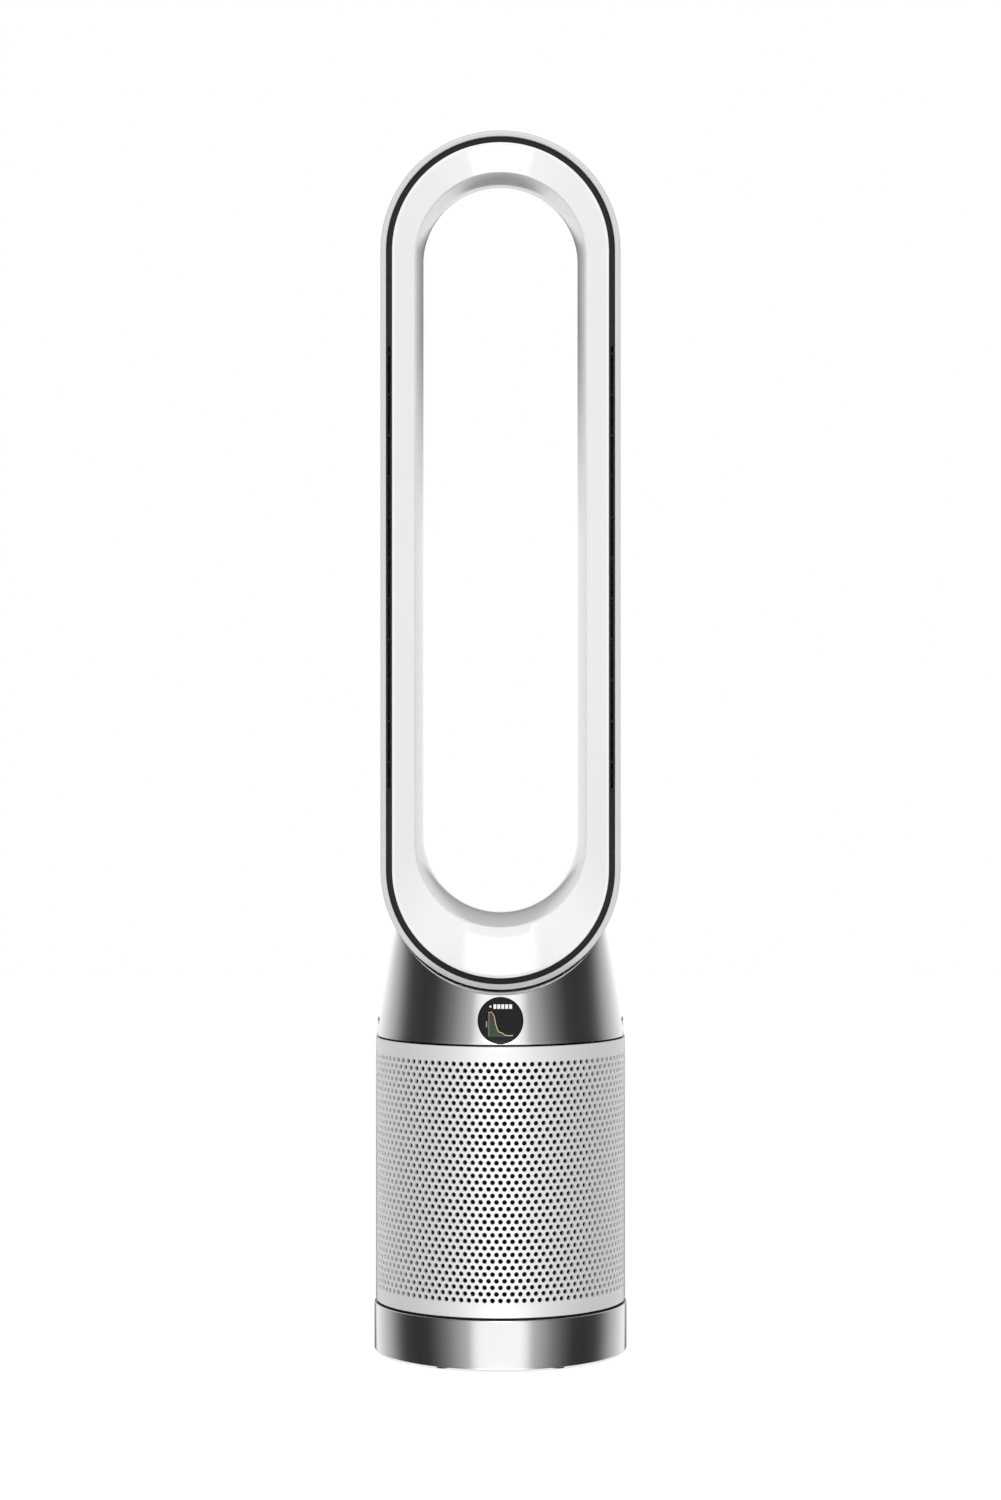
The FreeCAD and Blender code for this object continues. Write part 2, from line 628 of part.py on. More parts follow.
def filter_cage():
    """Frame that carries the upper body: floor, two spines, ribs with a middle ring, and the top ring."""
    floor = rod(CAGE_RADIUS, CAGE_Z0, CAGE_FLOOR_Z1)
    top = tube(CAGE_RADIUS, BUCKET_RADIUS + 2 * MOVE_GAP, CAGE_TOP_Z0, CAGE_Z1)
    inner = CAGE_RING_RADIUS - CAGE_RING_WALL
    ring_z0 = (CAGE_FLOOR_Z1 + CAGE_TOP_Z0 - CAGE_RING_HEIGHT) / 2
    ring = tube(CAGE_RING_RADIUS, inner, ring_z0, ring_z0 + CAGE_RING_HEIGHT)
    half_rib = CAGE_RIB_WIDTH / 2
    half_spine = SPINE_WIDTH / 2
    rib = block(inner, CAGE_RING_RADIUS, -half_rib, half_rib, CAGE_FLOOR_Z1, CAGE_TOP_Z0)
    spine = block(inner, SPINE_RADIUS - 1.0, -half_spine, half_spine, CAGE_FLOOR_Z1, CAGE_TOP_Z0)
    ribs = around(rib, CAGE_RIBS, 180.0 / CAGE_RIBS)
    cage = joined([floor, top, ring, *ribs, spine, turned(spine, 180)])
    reach_x = motor_screw_points()[1][0] + BOSS_RADIUS + 1.0
    reach_y = BOSS_RADIUS + 1.0
    pocket = rod(SWIVEL_MOTOR_RADIUS + 2.0, CAGE_Z0, CAGE_FLOOR_Z1, y=GEAR_CENTRES)
    ears = block(
        -reach_x, reach_x, GEAR_CENTRES - reach_y, GEAR_CENTRES + reach_y, CAGE_Z0, CAGE_FLOOR_Z1
    )
    well = rod(RETAINER_RADIUS + 2.0, CAGE_Z0, CAGE_FLOOR_Z1)
    cage = cage.cut(joined([pocket, ears, well]))
    for x, y in cage_screw_points():
        cage = cage.cut(screw_hole(x, y, CAGE_Z0, CAGE_FLOOR_Z1))
    for x, y in collar_screw_points():
        cage = cage.cut(screw_hole(x, y, CAGE_TOP_Z0, CAGE_Z1))
    return cage


def body_screws():
    """Screws of the swivel motor, of the cage on the turntable, and of the collar on the cage."""
    motor = [screw(x, y, MOTOR_CAN_Z0 + SWIVEL_MOTOR_EAR, False) for x, y in motor_screw_points()]
    cage = [screw(x, y, TURNTABLE_Z0, True) for x, y in cage_screw_points()]
    top = [screw(x, y, CAGE_TOP_Z0, True) for x, y in collar_screw_points()]
    return group(motor + cage + top)


# ---- Bucket, impeller and motor ----
def bucket():
    """Duct that holds the motor and impeller, hung from its flange."""
    wall = tube(BUCKET_RADIUS, BUCKET_INNER_RADIUS, BUCKET_Z0, BUCKET_Z1)
    flange = tube(BUCKET_RADIUS + BUCKET_FLANGE, BUCKET_INNER_RADIUS, BUCKET_FLANGE_Z0, BUCKET_Z1)
    return joined([wall, flange])


def bucket_mounts():
    """Rubber mounts that keep motor noise out of the cage."""
    waist = 0.7 * MOUNT_RADIUS
    middle = CAGE_Z1 + MOUNT_HEIGHT / 2
    mounts = []
    for x, y in mount_points():
        lower = Part.makeCone(MOUNT_RADIUS, waist, MOUNT_HEIGHT / 2, Vector(x, y, CAGE_Z1))
        upper = Part.makeCone(waist, MOUNT_RADIUS, MOUNT_HEIGHT / 2, Vector(x, y, middle))
        mounts.append(lower.fuse(upper))
    return group(mounts)


def quarter(start, middle, end):
    """Arc through three (radius, height) points, in the XZ plane."""
    return Part.Arc(*[Vector(r, 0, z) for r, z in (start, middle, end)]).toShape()


def inlet_bell():
    """Rounded inlet ring under the bucket."""
    level = BUCKET_Z0
    centre = BELL_THROAT_RADIUS + BELL_ROUND
    inner = BELL_ROUND - BELL_WALL
    root = math.sqrt(0.5)
    lower = quarter(
        (BELL_THROAT_RADIUS, level),
        (centre - BELL_ROUND * root, level - BELL_ROUND * root),
        (centre, level - BELL_ROUND),
    )
    upper = quarter(
        (centre, level - inner), (centre - inner * root, level - inner * root), (centre - inner, level)
    )
    rim = Part.makePolygon([
        Vector(centre, 0, level - BELL_ROUND),
        Vector(BUCKET_RADIUS, 0, level - BELL_ROUND),
        Vector(BUCKET_RADIUS, 0, level),
        Vector(BUCKET_INNER_RADIUS, 0, level),
        Vector(BUCKET_INNER_RADIUS, 0, level - inner),
        Vector(centre, 0, level - inner),
    ])
    edge = Part.makePolygon([Vector(centre - inner, 0, level), Vector(BELL_THROAT_RADIUS, 0, level)])
    wire = Part.Wire([lower, *rim.Edges, upper, *edge.Edges])
    return Part.Face(wire).revolve(ORIGIN, Z_AXIS, 360)


def pitched_plate(x0, x1, half_length, thickness, degrees, z):
    """Flat plate along X, tilted about the X axis."""
    plate = block(x0, x1, -half_length, half_length, -thickness / 2, thickness / 2)
    plate.rotate(ORIGIN, X_AXIS, degrees)
    return moved(plate, z=z)


def impeller():
    """Mixed-flow impeller: a hollow conical hub with pitched blades."""
    z0 = IMPELLER_Z0
    z1 = IMPELLER_Z1
    hub = revolved([
        (MOTOR_SHAFT_RADIUS, z0),
        (IMPELLER_EYE_RADIUS, z0),
        (VANE_HUB_RADIUS, z1),
        (VANE_HUB_RADIUS - 2.5, z1),
        (IMPELLER_EYE_RADIUS - 1.5, z0 + 5.0),
        (8.0, z0 + 5.0),
        (8.0, z0 + 18.0),
        (MOTOR_SHAFT_RADIUS, z0 + 18.0),
    ])
    tip = BUCKET_INNER_RADIUS - IMPELLER_TIP_GAP
    core = Part.makeCone(IMPELLER_EYE_RADIUS - 1.0, VANE_HUB_RADIUS - 1.0, z1 - z0, Vector(0, 0, z0))
    passage = rod(tip, z0, z1).cut(core)
    half = (z1 - z0) / 2 / math.sin(math.radians(BLADE_PITCH)) + BLADE_THICKNESS
    plate = pitched_plate(
        IMPELLER_EYE_RADIUS - 2.0, tip + OVERSHOOT, half, BLADE_THICKNESS, BLADE_PITCH, (z0 + z1) / 2
    )
    return joined([hub, *around(plate.common(passage), IMPELLER_BLADES)])


def motor_shaft():
    """Steel shaft that carries the impeller and the rotor magnet."""
    return rod(MOTOR_SHAFT_RADIUS, IMPELLER_Z0 + 2.0, MOTOR_Z1 - MOTOR_WALL - MOVE_GAP)


def stator_levels():
    """Lower and upper face of the stator."""
    middle = (MOTOR_Z0 + MOTOR_Z1) / 2
    return middle - STATOR_HEIGHT / 2, middle + STATOR_HEIGHT / 2


def rotor_magnet():
    """Ring magnet on the shaft."""
    return tube(MAGNET_RADIUS, MOTOR_SHAFT_RADIUS, *stator_levels())


def motor_case():
    """Sealed can round the motor, with a seat for each bearing."""
    case = rod(MOTOR_RADIUS, MOTOR_Z0, MOTOR_Z1)
    cavity = rod(MOTOR_RADIUS - MOTOR_WALL, MOTOR_Z0 + MOTOR_PLATE, MOTOR_Z1 - MOTOR_PLATE)
    seats = rod(BEARING_RADIUS, MOTOR_Z0 + MOTOR_WALL, MOTOR_Z1 - MOTOR_WALL)
    hole = rod(MOTOR_SHAFT_RADIUS + OVERSHOOT, MOTOR_Z0, MOTOR_Z0 + MOTOR_WALL)
    return case.cut(joined([cavity, seats, hole]))


def motor_bearings():
    """Two ball bearings, drawn as plain rings."""
    bore = MOTOR_SHAFT_RADIUS + RUN_FIT
    lower = MOTOR_Z0 + MOTOR_WALL
    upper = MOTOR_Z1 - MOTOR_WALL - BEARING_WIDTH
    return group([tube(BEARING_RADIUS, bore, z, z + BEARING_WIDTH) for z in (lower, upper)])


def stator_core():
    """Stacked steel core with six teeth."""
    z0, z1 = stator_levels()
    outer = MOTOR_RADIUS - MOTOR_WALL
    yoke = tube(outer, outer - STATOR_YOKE, z0, z1)
    half = STATOR_TOOTH_WIDTH / 2
    tooth = block(MAGNET_RADIUS, outer - STATOR_YOKE / 2, -half, half, z0, z1)
    core = joined([yoke, *around(tooth, STATOR_TEETH)])
    return core.cut(rod(MAGNET_RADIUS + AIR_GAP, z0, z1))


def stator_coils():
    """Copper coil round each tooth."""
    z0, z1 = stator_levels()
    half = STATOR_TOOTH_WIDTH / 2
    x0 = MAGNET_RADIUS + AIR_GAP + 2.5
    x1 = MOTOR_RADIUS - MOTOR_WALL - STATOR_YOKE - 1.0
    coil = block(x0, x1, -half - 3.0, half + 3.0, z0 - 3.0, z1 + 3.0)
    coil = coil.cut(block(x0, x1, -half, half, z0, z1))
    return group(around(coil, STATOR_TEETH))


def diffuser():
    """Fixed vanes between the motor and the bucket, that straighten the air."""
    z0 = MOTOR_Z0
    z1 = MOTOR_Z1
    hub = tube(VANE_HUB_RADIUS, MOTOR_RADIUS, z0, z1)
    passage = tube(BUCKET_INNER_RADIUS, VANE_HUB_RADIUS - 1.0, z0, z1)
    plate = pitched_plate(
        VANE_HUB_RADIUS - 2.0, BUCKET_RADIUS, MOTOR_HEIGHT, VANE_THICKNESS, 90.0 - VANE_TILT, (z0 + z1) / 2
    )
    return joined([hub, *around(plate.common(passage), VANE_COUNT)])


def tail_cone():
    """Hollow cone over the motor, that guides the air upward."""
    outer = Part.makeCone(VANE_HUB_RADIUS, TAIL_TIP_RADIUS, TAIL_HEIGHT, Vector(0, 0, MOTOR_Z1))
    inner = Part.makeCone(
        VANE_HUB_RADIUS - 2.0, TAIL_TIP_RADIUS - 2.0, TAIL_HEIGHT - 2.0, Vector(0, 0, MOTOR_Z1)
    )
    return outer.cut(inner)


# ---- Covers and filters ----
def half_space(y0, y1, z0, z1):
    """Box as wide as the machine, between two depths and heights."""
    return block(-2 * SKIRT_RADIUS, 2 * SKIRT_RADIUS, y0, y1, z0, z1)


def front_half(shape, y):
    """Part of a shape in front of a depth."""
    box = shape.BoundBox
    return shape.common(half_space(-2 * SKIRT_RADIUS, y, box.ZMin - 1, box.ZMax + 1))


def cover_screen():
    """Front half of the covers' outer skin."""
    return front_half(tube(COVER_RADIUS, COVER_INNER_RADIUS, COVER_Z0, COVER_Z1), -SEAM / 2)


def cover_frame():
    """Front cover's inner frame: two rails, two stiles and the tabs that the catches hold."""
    rails = [
        tube(COVER_INNER_RADIUS, FRAME_INNER_RADIUS, z, z + COVER_RAIL_HEIGHT)
        for z in (COVER_Z0, COVER_Z1 - COVER_RAIL_HEIGHT)
    ]
    wall = tube(COVER_INNER_RADIUS, FRAME_INNER_RADIUS, COVER_Z0, COVER_Z1)
    stiles = wall.common(half_space(-COVER_STILE_WIDTH, 0, COVER_Z0, COVER_Z1))
    tab_z1 = COVER_Z1 - 2 * MOVE_GAP
    tab_x0 = FRAME_INNER_RADIUS - TAB_REACH
    tab_x1 = FRAME_INNER_RADIUS + COVER_FRAME / 2
    tabs = [
        block(x0, x1, -OVERSHOOT - TAB_LENGTH, -OVERSHOOT, tab_z1 - TAB_HEIGHT, tab_z1)
        for x0, x1 in ((tab_x0, tab_x1), (-tab_x1, -tab_x0))
    ]
    frame = joined([*rails, *stiles.Solids, *tabs])
    return front_half(frame, -SEAM / 2)


def filter_frame():
    """Front filter's frame: an end plate above and below, and a wall beside each spine."""
    z0 = FILTER_Z0
    z1 = FILTER_Z1
    outer = FILTER_RADIUS
    inner = FILTER_INNER_RADIUS
    plates = [tube(outer, inner, z, z + FILTER_PLATE) for z in (z0, z1 - FILTER_PLATE)]
    edge = -FILTER_END_Y - OVERSHOOT
    walls = tube(outer, inner, z0, z1).common(half_space(edge - FILTER_POST, edge, z0, z1))
    return front_half(joined([*plates, *walls.Solids]), edge)


def filter_seals():
    """Soft strip on each end wall of the front filter."""
    strip = tube(FILTER_RADIUS - 4.0, FILTER_INNER_RADIUS + 4.0, FILTER_Z0, FILTER_Z1)
    edge = -FILTER_END_Y
    return group(strip.common(half_space(edge - OVERSHOOT, edge, FILTER_Z0, FILTER_Z1)).Solids)


def filter_pleats():
    """Front filter's pleated glass-fibre sheet."""
    outer = FILTER_RADIUS - PLEAT_INSET
    inner = outer - PLEAT_DEPTH
    clear = FILTER_END_Y + OVERSHOOT + FILTER_POST
    margin = math.degrees(math.asin(clear / (inner - PLEAT_RADIAL_THICKNESS))) + 0.5
    steps = 2 * PLEAT_COUNT
    z0 = FILTER_Z0 + FILTER_PLATE
    z1 = FILTER_Z1 - FILTER_PLATE
    near = []
    far = []
    for i in range(steps + 1):
        angle = 180.0 + margin + (180.0 - 2 * margin) * i / steps
        radius = outer if i % 2 else inner
        far.append(Vector(*polar(radius, angle), z0))
        near.append(Vector(*polar(radius - PLEAT_RADIAL_THICKNESS, angle), z0))
    return polygon([*far, *near[::-1]]).extrude(Vector(0, 0, z1 - z0))


def filter_carbon():
    """Front filter's carbon layer, inside the pleats."""
    z0 = FILTER_Z0 + FILTER_PLATE
    z1 = FILTER_Z1 - FILTER_PLATE
    inner = FILTER_INNER_RADIUS + CARBON_INSET
    layer = tube(inner + CARBON_THICKNESS, inner, z0, z1)
    return front_half(layer, -FILTER_END_Y - OVERSHOOT - FILTER_POST)


# ---- Collar ----
def collar_half_width(height):
    """Half width of the collar, at a height above its lower edge."""
    return COLLAR_RADIUS - COLLAR_SIDE_LEAN * height - COLLAR_SIDE_BEND * height**2


def collar_half_depth(height):
    """Half depth of the collar, at a height above its lower edge."""
    return COLLAR_RADIUS - COLLAR_FRONT_LEAN * height - COLLAR_FRONT_BEND * height**2


def oval(half_x, half_y, z):
    """Closed oval wire at a height."""
    if half_x - half_y < 0.001:
        return Part.Wire(Part.makeCircle(half_x, Vector(0, 0, z)))
    return Part.Wire(Part.Ellipse(Vector(0, 0, z), half_x, half_y).toShape())


def oval_prism(half_x, half_y, z0, z1):
    """Upright solid with an oval section."""
    return Part.Face(oval(half_x, half_y, z0)).extrude(Vector(0, 0, z1 - z0))


def collar_cone(inset):
    """Solid inside the collar's outer surface, or inside a surface inset from it."""
    wires = []
    for i in range(COLLAR_SECTIONS):
        height = COLLAR_HEIGHT * i / (COLLAR_SECTIONS - 1)
        half_x = collar_half_width(height) - inset
        half_y = collar_half_depth(height) - inset
        wires.append(oval(half_x, half_y, COLLAR_Z0 + height))
    return Part.makeLoft(wires, True, False)


def lying_rod(radius):
    """Cylinder along Y, concentric with the loop's lower arc."""
    start = Vector(0, -2 * SKIRT_RADIUS, ARC_CENTRE_Z)
    return Part.makeCylinder(radius, 4 * SKIRT_RADIUS, start, Y_AXIS)


def display_axis():
    """Point on the swivel axis, level with the display's middle."""
    return Vector(0, 0, COLLAR_Z0 + DISPLAY_RISE)


def display_cutter(radius):
    """Cylinder that passes through the collar's front wall at the display."""
    return Part.makeCylinder(radius, 2 * SKIRT_RADIUS, display_axis(), -Y_AXIS)


def loop_screw_points():
    """(x, y) of the screws that hold the loop in its seat."""
    x = PORT_WIDTH / 2 + 3 * BOSS_RADIUS
    y = PORT_DEPTH / 2
    return [(-x, -y), (x, -y), (-x, y), (x, y)]


def seat_z(radius, x):
    """Height of a lying cylinder's underside, at a distance from the middle."""
    return ARC_CENTRE_Z - math.sqrt(radius**2 - x**2)


def loop_screw_z():
    """Seat of the loop screws' heads."""
    x = abs(loop_screw_points()[0][0]) - BOSS_RADIUS
    return seat_z(SADDLE_RADIUS + SADDLE_WALL, x) - 2.0


def collar():
    """Tapered metal collar with a round seat for the loop."""
    shell = collar_cone(0).cut(collar_cone(COLLAR_WALL)).cut(lying_rod(SADDLE_RADIUS))
    seat = lying_rod(SADDLE_RADIUS + SADDLE_WALL).cut(lying_rod(SADDLE_RADIUS))
    seat = seat.common(collar_cone(COLLAR_WALL / 2)).common(half_space(-200, 200, COLLAR_Z0, ARC_CENTRE_Z))
    bosses = []
    for x, y in collar_screw_points():
        angle = math.degrees(math.atan2(y, x))
        reach = math.hypot(x, y)
        rib = turned(block(reach, COLLAR_RADIUS - 3.5, -1.5, 1.5, COLLAR_Z0, COLLAR_Z0 + 8.0), angle)
        bosses.extend([rod(BOSS_RADIUS, CAGE_Z1, COLLAR_Z0 + 8.0, x, y), rib])
    for x, y in loop_screw_points():
        post = rod(BOSS_RADIUS + SCREW_RADIUS, loop_screw_z(), ARC_CENTRE_Z, x, y)
        bosses.append(post.cut(lying_rod(SADDLE_RADIUS + SADDLE_WALL / 2)))
    body = joined([shell, *seat.Solids, *bosses])
    body = body.cut(oval_prism(PORT_WIDTH / 2, PORT_DEPTH / 2, COLLAR_Z0, ARC_CENTRE_Z))
    for x, y in collar_screw_points():
        body = body.cut(screw_hole(x, y, CAGE_Z1, CAGE_Z1 + SCREW_LENGTH))
    for x, y in loop_screw_points():
        body = body.cut(screw_hole(x, y, loop_screw_z(), ARC_CENTRE_Z))
    body = body.cut(display_cutter(DISPLAY_RADIUS + SLIP_FIT))
    for cutter in (*button_holes(), standby_hole(), *sensor_slots()):
        body = body.cut(cutter)
    return body


def duct():
    """Duct from the bucket's round mouth to the loop's oval port."""
    z0 = BUCKET_Z1 + SEAL_THICKNESS
    z1 = z0 + 30.0
    top = ARC_CENTRE_Z - LOOP_RADIUS / 2
    half_x = PORT_WIDTH / 2
    half_y = PORT_DEPTH / 2
    inner = BUCKET_INNER_RADIUS

    def passage(wall):
        lower = Part.makeLoft(
            [oval(inner + wall, inner + wall, z0), oval(half_x + wall, half_y + wall, z1)], True, True
        )
        return lower.fuse(oval_prism(half_x + wall, half_y + wall, z1, top)).removeSplitter()

    body = joined([passage(DUCT_WALL), rod(BUCKET_RADIUS + BUCKET_FLANGE / 2, z0, z0 + DUCT_WALL)])
    return body.cut(passage(0)).cut(lying_rod(SADDLE_RADIUS + SADDLE_WALL))


def duct_seal():
    """Soft ring between the bucket and the duct."""
    outer = BUCKET_RADIUS + BUCKET_FLANGE / 2
    return tube(outer, BUCKET_INNER_RADIUS, BUCKET_Z1, BUCKET_Z1 + SEAL_THICKNESS)


def loop_gasket():
    """Soft ring between the collar's seat and the loop, round the port."""
    border = GASKET_BORDER
    level = ARC_CENTRE_Z - LOOP_RADIUS / 2
    ring = oval_prism(PORT_WIDTH / 2 + border, PORT_DEPTH / 2 + border, COLLAR_Z0, level)
    ring = ring.cut(oval_prism(PORT_WIDTH / 2, PORT_DEPTH / 2, COLLAR_Z0, level))
    return ring.common(lying_rod(SADDLE_RADIUS)).cut(lying_rod(LOOP_RADIUS))


def loop_screws():
    """Screws through the collar's seat, up into the loop."""
    z = loop_screw_z()
    return group([screw(x, y, z, True, loop_screw_length()) for x, y in loop_screw_points()])


def loop_screw_length():
    """Length of a loop screw, through the seat and the loop's wall into its boss."""
    return seat_z(LOOP_RADIUS, loop_screw_points()[1][0]) + 8.0 - loop_screw_z()


# ---- Display, buttons and sensor ----
def display_lens():
    """Dark round window, flush with the collar."""
    lens = collar_cone(0).cut(collar_cone(LENS_THICKNESS)).common(display_cutter(DISPLAY_RADIUS))
    return lens.Solids[0]


def display_module():
    """Display panel behind the lens, in its holder."""
    face = -collar_half_depth(DISPLAY_RISE + DISPLAY_RADIUS) + LENS_THICKNESS + COLLAR_WALL
    start = display_axis() + Y_AXIS * face
    panel = Part.makeCylinder(DISPLAY_RADIUS - 2.0, 4.0, start, Y_AXIS)
    holder = Part.makeCylinder(DISPLAY_RADIUS - 0.5, 2.0, start + Y_AXIS * 4.0, Y_AXIS)
    return panel.fuse(holder).removeSplitter()


def main_board():
    """Control board behind the display."""
    y0 = -collar_half_depth(DISPLAY_RISE + DISPLAY_RADIUS) + LENS_THICKNESS + COLLAR_WALL + 6.0
    y1 = y0 + BOARD_THICKNESS
    z0 = COLLAR_Z0 + 2.0
    board = block(-26.0, 26.0, y0, y1, z0, z0 + 34.0)
    chips = [
        block(-8.0, 8.0, y1, y1 + 1.6, z0 + 12.0, z0 + 28.0),
        block(12.0, 22.0, y1, y1 + 3.0, z0 + 4.0, z0 + 10.0),
        block(-22.0, -12.0, y1, y1 + 4.0, z0 + 4.0, z0 + 12.0),
    ]
    return joined([board, *chips])


def button_z():
    """Height of the release buttons' middle."""
    return COLLAR_Z0 + BUTTON_RISE


def button_face_x():
    """Outer face of the right button."""
    return collar_half_width(BUTTON_RISE) + BUTTON_PROUD


def button_flange_x():
    """Outer face of the right button's flange, inside the collar wall."""
    upper = BUTTON_RISE + BUTTON_HEIGHT / 2 + 2.0
    half = BUTTON_LENGTH / 2 + 2.0
    edge = collar_half_width(upper) - COLLAR_WALL
    return edge * math.sqrt(1 - (half / edge) ** 2) - MOVE_GAP


def button_holes():
    """Cutters for the two release buttons."""
    x0 = button_flange_x() - 10.0
    x1 = button_face_x() + 10.0
    length = BUTTON_LENGTH + 2 * MOVE_GAP
    height = BUTTON_HEIGHT + 2 * MOVE_GAP
    return [pill(length, height, x0, x1, button_z()), pill(length, height, -x1, -x0, button_z())]


def release_button():
    """Right release button with its flange and the catch that holds the covers."""
    x1 = button_flange_x()
    x0 = x1 - 2.0
    cap = pill(BUTTON_LENGTH, BUTTON_HEIGHT, x0, button_face_x(), button_z())
    flange = pill(BUTTON_LENGTH + 4.0, BUTTON_HEIGHT + 4.0, x0, x1, button_z())
    catch_x1 = FRAME_INNER_RADIUS - TAB_REACH - MOVE_GAP
    catch_z0 = COVER_Z1 - 2 * MOVE_GAP - TAB_HEIGHT
    catch = block(catch_x1 - CATCH_THICKNESS, catch_x1, -TAB_LENGTH, TAB_LENGTH, catch_z0, button_z() + 6.0)
    bridge = block(catch_x1 - 1.0, x0 + 1.0, -TAB_LENGTH, TAB_LENGTH, button_z() - 2.0, button_z() + 2.0)
    return joined([cap, flange, catch, bridge])


def spring_space():
    """(x0, x1) of the right button's spring."""
    x1 = FRAME_INNER_RADIUS - TAB_REACH - MOVE_GAP - CATCH_THICKNESS
    return x1 - SPRING_LENGTH, x1


def button_spring():
    """Coil spring behind the right button."""
    x0, x1 = spring_space()
    wire_radius = 0.45
    coil_radius = 3.0
    length = x1 - x0 - 2 * wire_radius
    helix = Part.makeHelix(length / 5, length, coil_radius)
    start = Vector(coil_radius, 0, 0)
    ring = Part.Wire(Part.makeCircle(wire_radius, start, Y_AXIS))
    coil = Part.Wire(helix.Edges).makePipeShell([ring], True, True)
    coil.rotate(ORIGIN, Y_AXIS, 90)
    return moved(coil, x=x0 + wire_radius, z=button_z() + 2.0)


def button_bracket():
    """Right spring's backstop, that stands on the cage."""
    x1 = spring_space()[0]
    post = block(x1 - 3.0, x1, -6.0, 6.0, CAGE_Z1, button_z() + 7.0)
    foot = block(x1 - 12.0, x1, -6.0, 6.0, CAGE_Z1, CAGE_Z1 + 3.0)
    return joined([post, foot])


def both_sides(shape):
    """A right-hand piece and its twin on the left."""
    return group([shape, turned(shape, 180)])


def standby_face_y():
    """Outer face of the standby button, at the back."""
    return collar_half_depth(STANDBY_RISE - STANDBY_RADIUS) + BUTTON_PROUD


def standby_flange_y():
    """Outer face of the standby button's flange."""
    return collar_half_depth(STANDBY_RISE + STANDBY_RADIUS + 2.0) - COLLAR_WALL - 2 * MOVE_GAP


def standby_rod(radius, y0, y1):
    """Cylinder along Y on the standby button's axis."""
    return Part.makeCylinder(radius, y1 - y0, Vector(0, y0, COLLAR_Z0 + STANDBY_RISE), Y_AXIS)


def standby_hole():
    """Cutter for the standby button."""
    return standby_rod(STANDBY_RADIUS + MOVE_GAP, standby_flange_y() - 1.0, standby_face_y() + 5.0)


def standby_button():
    """Round standby button at the back."""
    y = standby_flange_y()
    cap = standby_rod(STANDBY_RADIUS, y - 2.0, standby_face_y())
    flange = standby_rod(STANDBY_RADIUS + 2.0, y - 2.0, y)
    return cap.fuse(flange).removeSplitter()


def standby_switch():
    """Small push switch on its own board, behind the standby button."""
    y = standby_flange_y() - 2.0 - STANDBY_TRAVEL - MOVE_GAP
    plunger = standby_rod(1.7, y - 2.0, y)
    z = COLLAR_Z0 + STANDBY_RISE
    body = block(-3.0, 3.0, y - 5.0, y - 1.5, z - 3.0, z + 3.0)
    board = block(-12.0, 12.0, y - 5.0 - BOARD_THICKNESS, y - 5.0, z - 14.0, z + 8.0)
    foot = block(-12.0, 12.0, y - 16.0, y - 5.0, CAGE_Z1, z - 13.0)
    return joined([plunger, body, board, foot])


def sensor_slots():
    """Cutters for the row of vent slots by the air sensor."""
    pitch = VENT_LENGTH / VENT_SLOTS
    z0 = COLLAR_Z0 + VENT_RISE - VENT_HEIGHT / 2
    cutters = []
    for i in range(VENT_SLOTS):
        y = (i - (VENT_SLOTS - 1) / 2) * pitch
        half = VENT_SLOT_WIDTH / 2
        slot = block(COLLAR_RADIUS - 20.0, COLLAR_RADIUS + 5.0, y - half, y + half, z0, z0 + VENT_HEIGHT)
        cutters.append(turned(slot, VENT_ANGLE))
    return cutters


def air_sensor():
    """Dust and gas sensor behind the vent slots."""
    z0 = CAGE_Z1
    z1 = COLLAR_Z0 + VENT_RISE + VENT_HEIGHT / 2
    half = VENT_LENGTH / 2
    x1 = collar_half_depth(VENT_RISE + VENT_HEIGHT / 2) - 3 * COLLAR_WALL
    body = block(x1 - 14.0, x1, -half, half, z0, z1)
    body = body.cut(block(x1 - 8.0, x1, -half + 2.0, half - 2.0, z1 - VENT_HEIGHT, z1 - 2.0))
    return turned(body, VENT_ANGLE)


# ---- Loop ----
def stadium(side, lower, upper, y):
    """Loop outline at a depth, inset from the loop's outer outline at its sides and ends."""
    half = LOOP_RADIUS - side
    low = LOOP_Z0 + lower + half
    high = LOOP_Z1 - upper - half
    corners = [Vector(-half, y, low), Vector(half, y, low), Vector(half, y, high), Vector(-half, y, high)]
    return Part.Wire([
        Part.Arc(corners[0], Vector(0, y, low - half), corners[1]).toShape(),
        Part.LineSegment(corners[1], corners[2]).toShape(),
        Part.Arc(corners[2], Vector(0, y, high + half), corners[3]).toShape(),
        Part.LineSegment(corners[3], corners[0]).toShape(),
    ])


def stadium_prism(inset, y0, y1):
    """Solid inside an evenly inset outline, between two depths."""
    return Part.Face(stadium(inset, inset, inset, y0)).extrude(Vector(0, y1 - y0, 0))


def rounded_back(shape, radius, y):
    """Rounds a prism's edge at a depth."""
    edges = [edge for edge in shape.Edges if edge.BoundBox.YMin > y - 0.01 and edge.BoundBox.YMax < y + 0.01]
    return shape.makeFillet(radius, edges)


def shrunk(insets, amount):
    """Three insets, each made smaller."""
    return tuple(inset - amount for inset in insets)


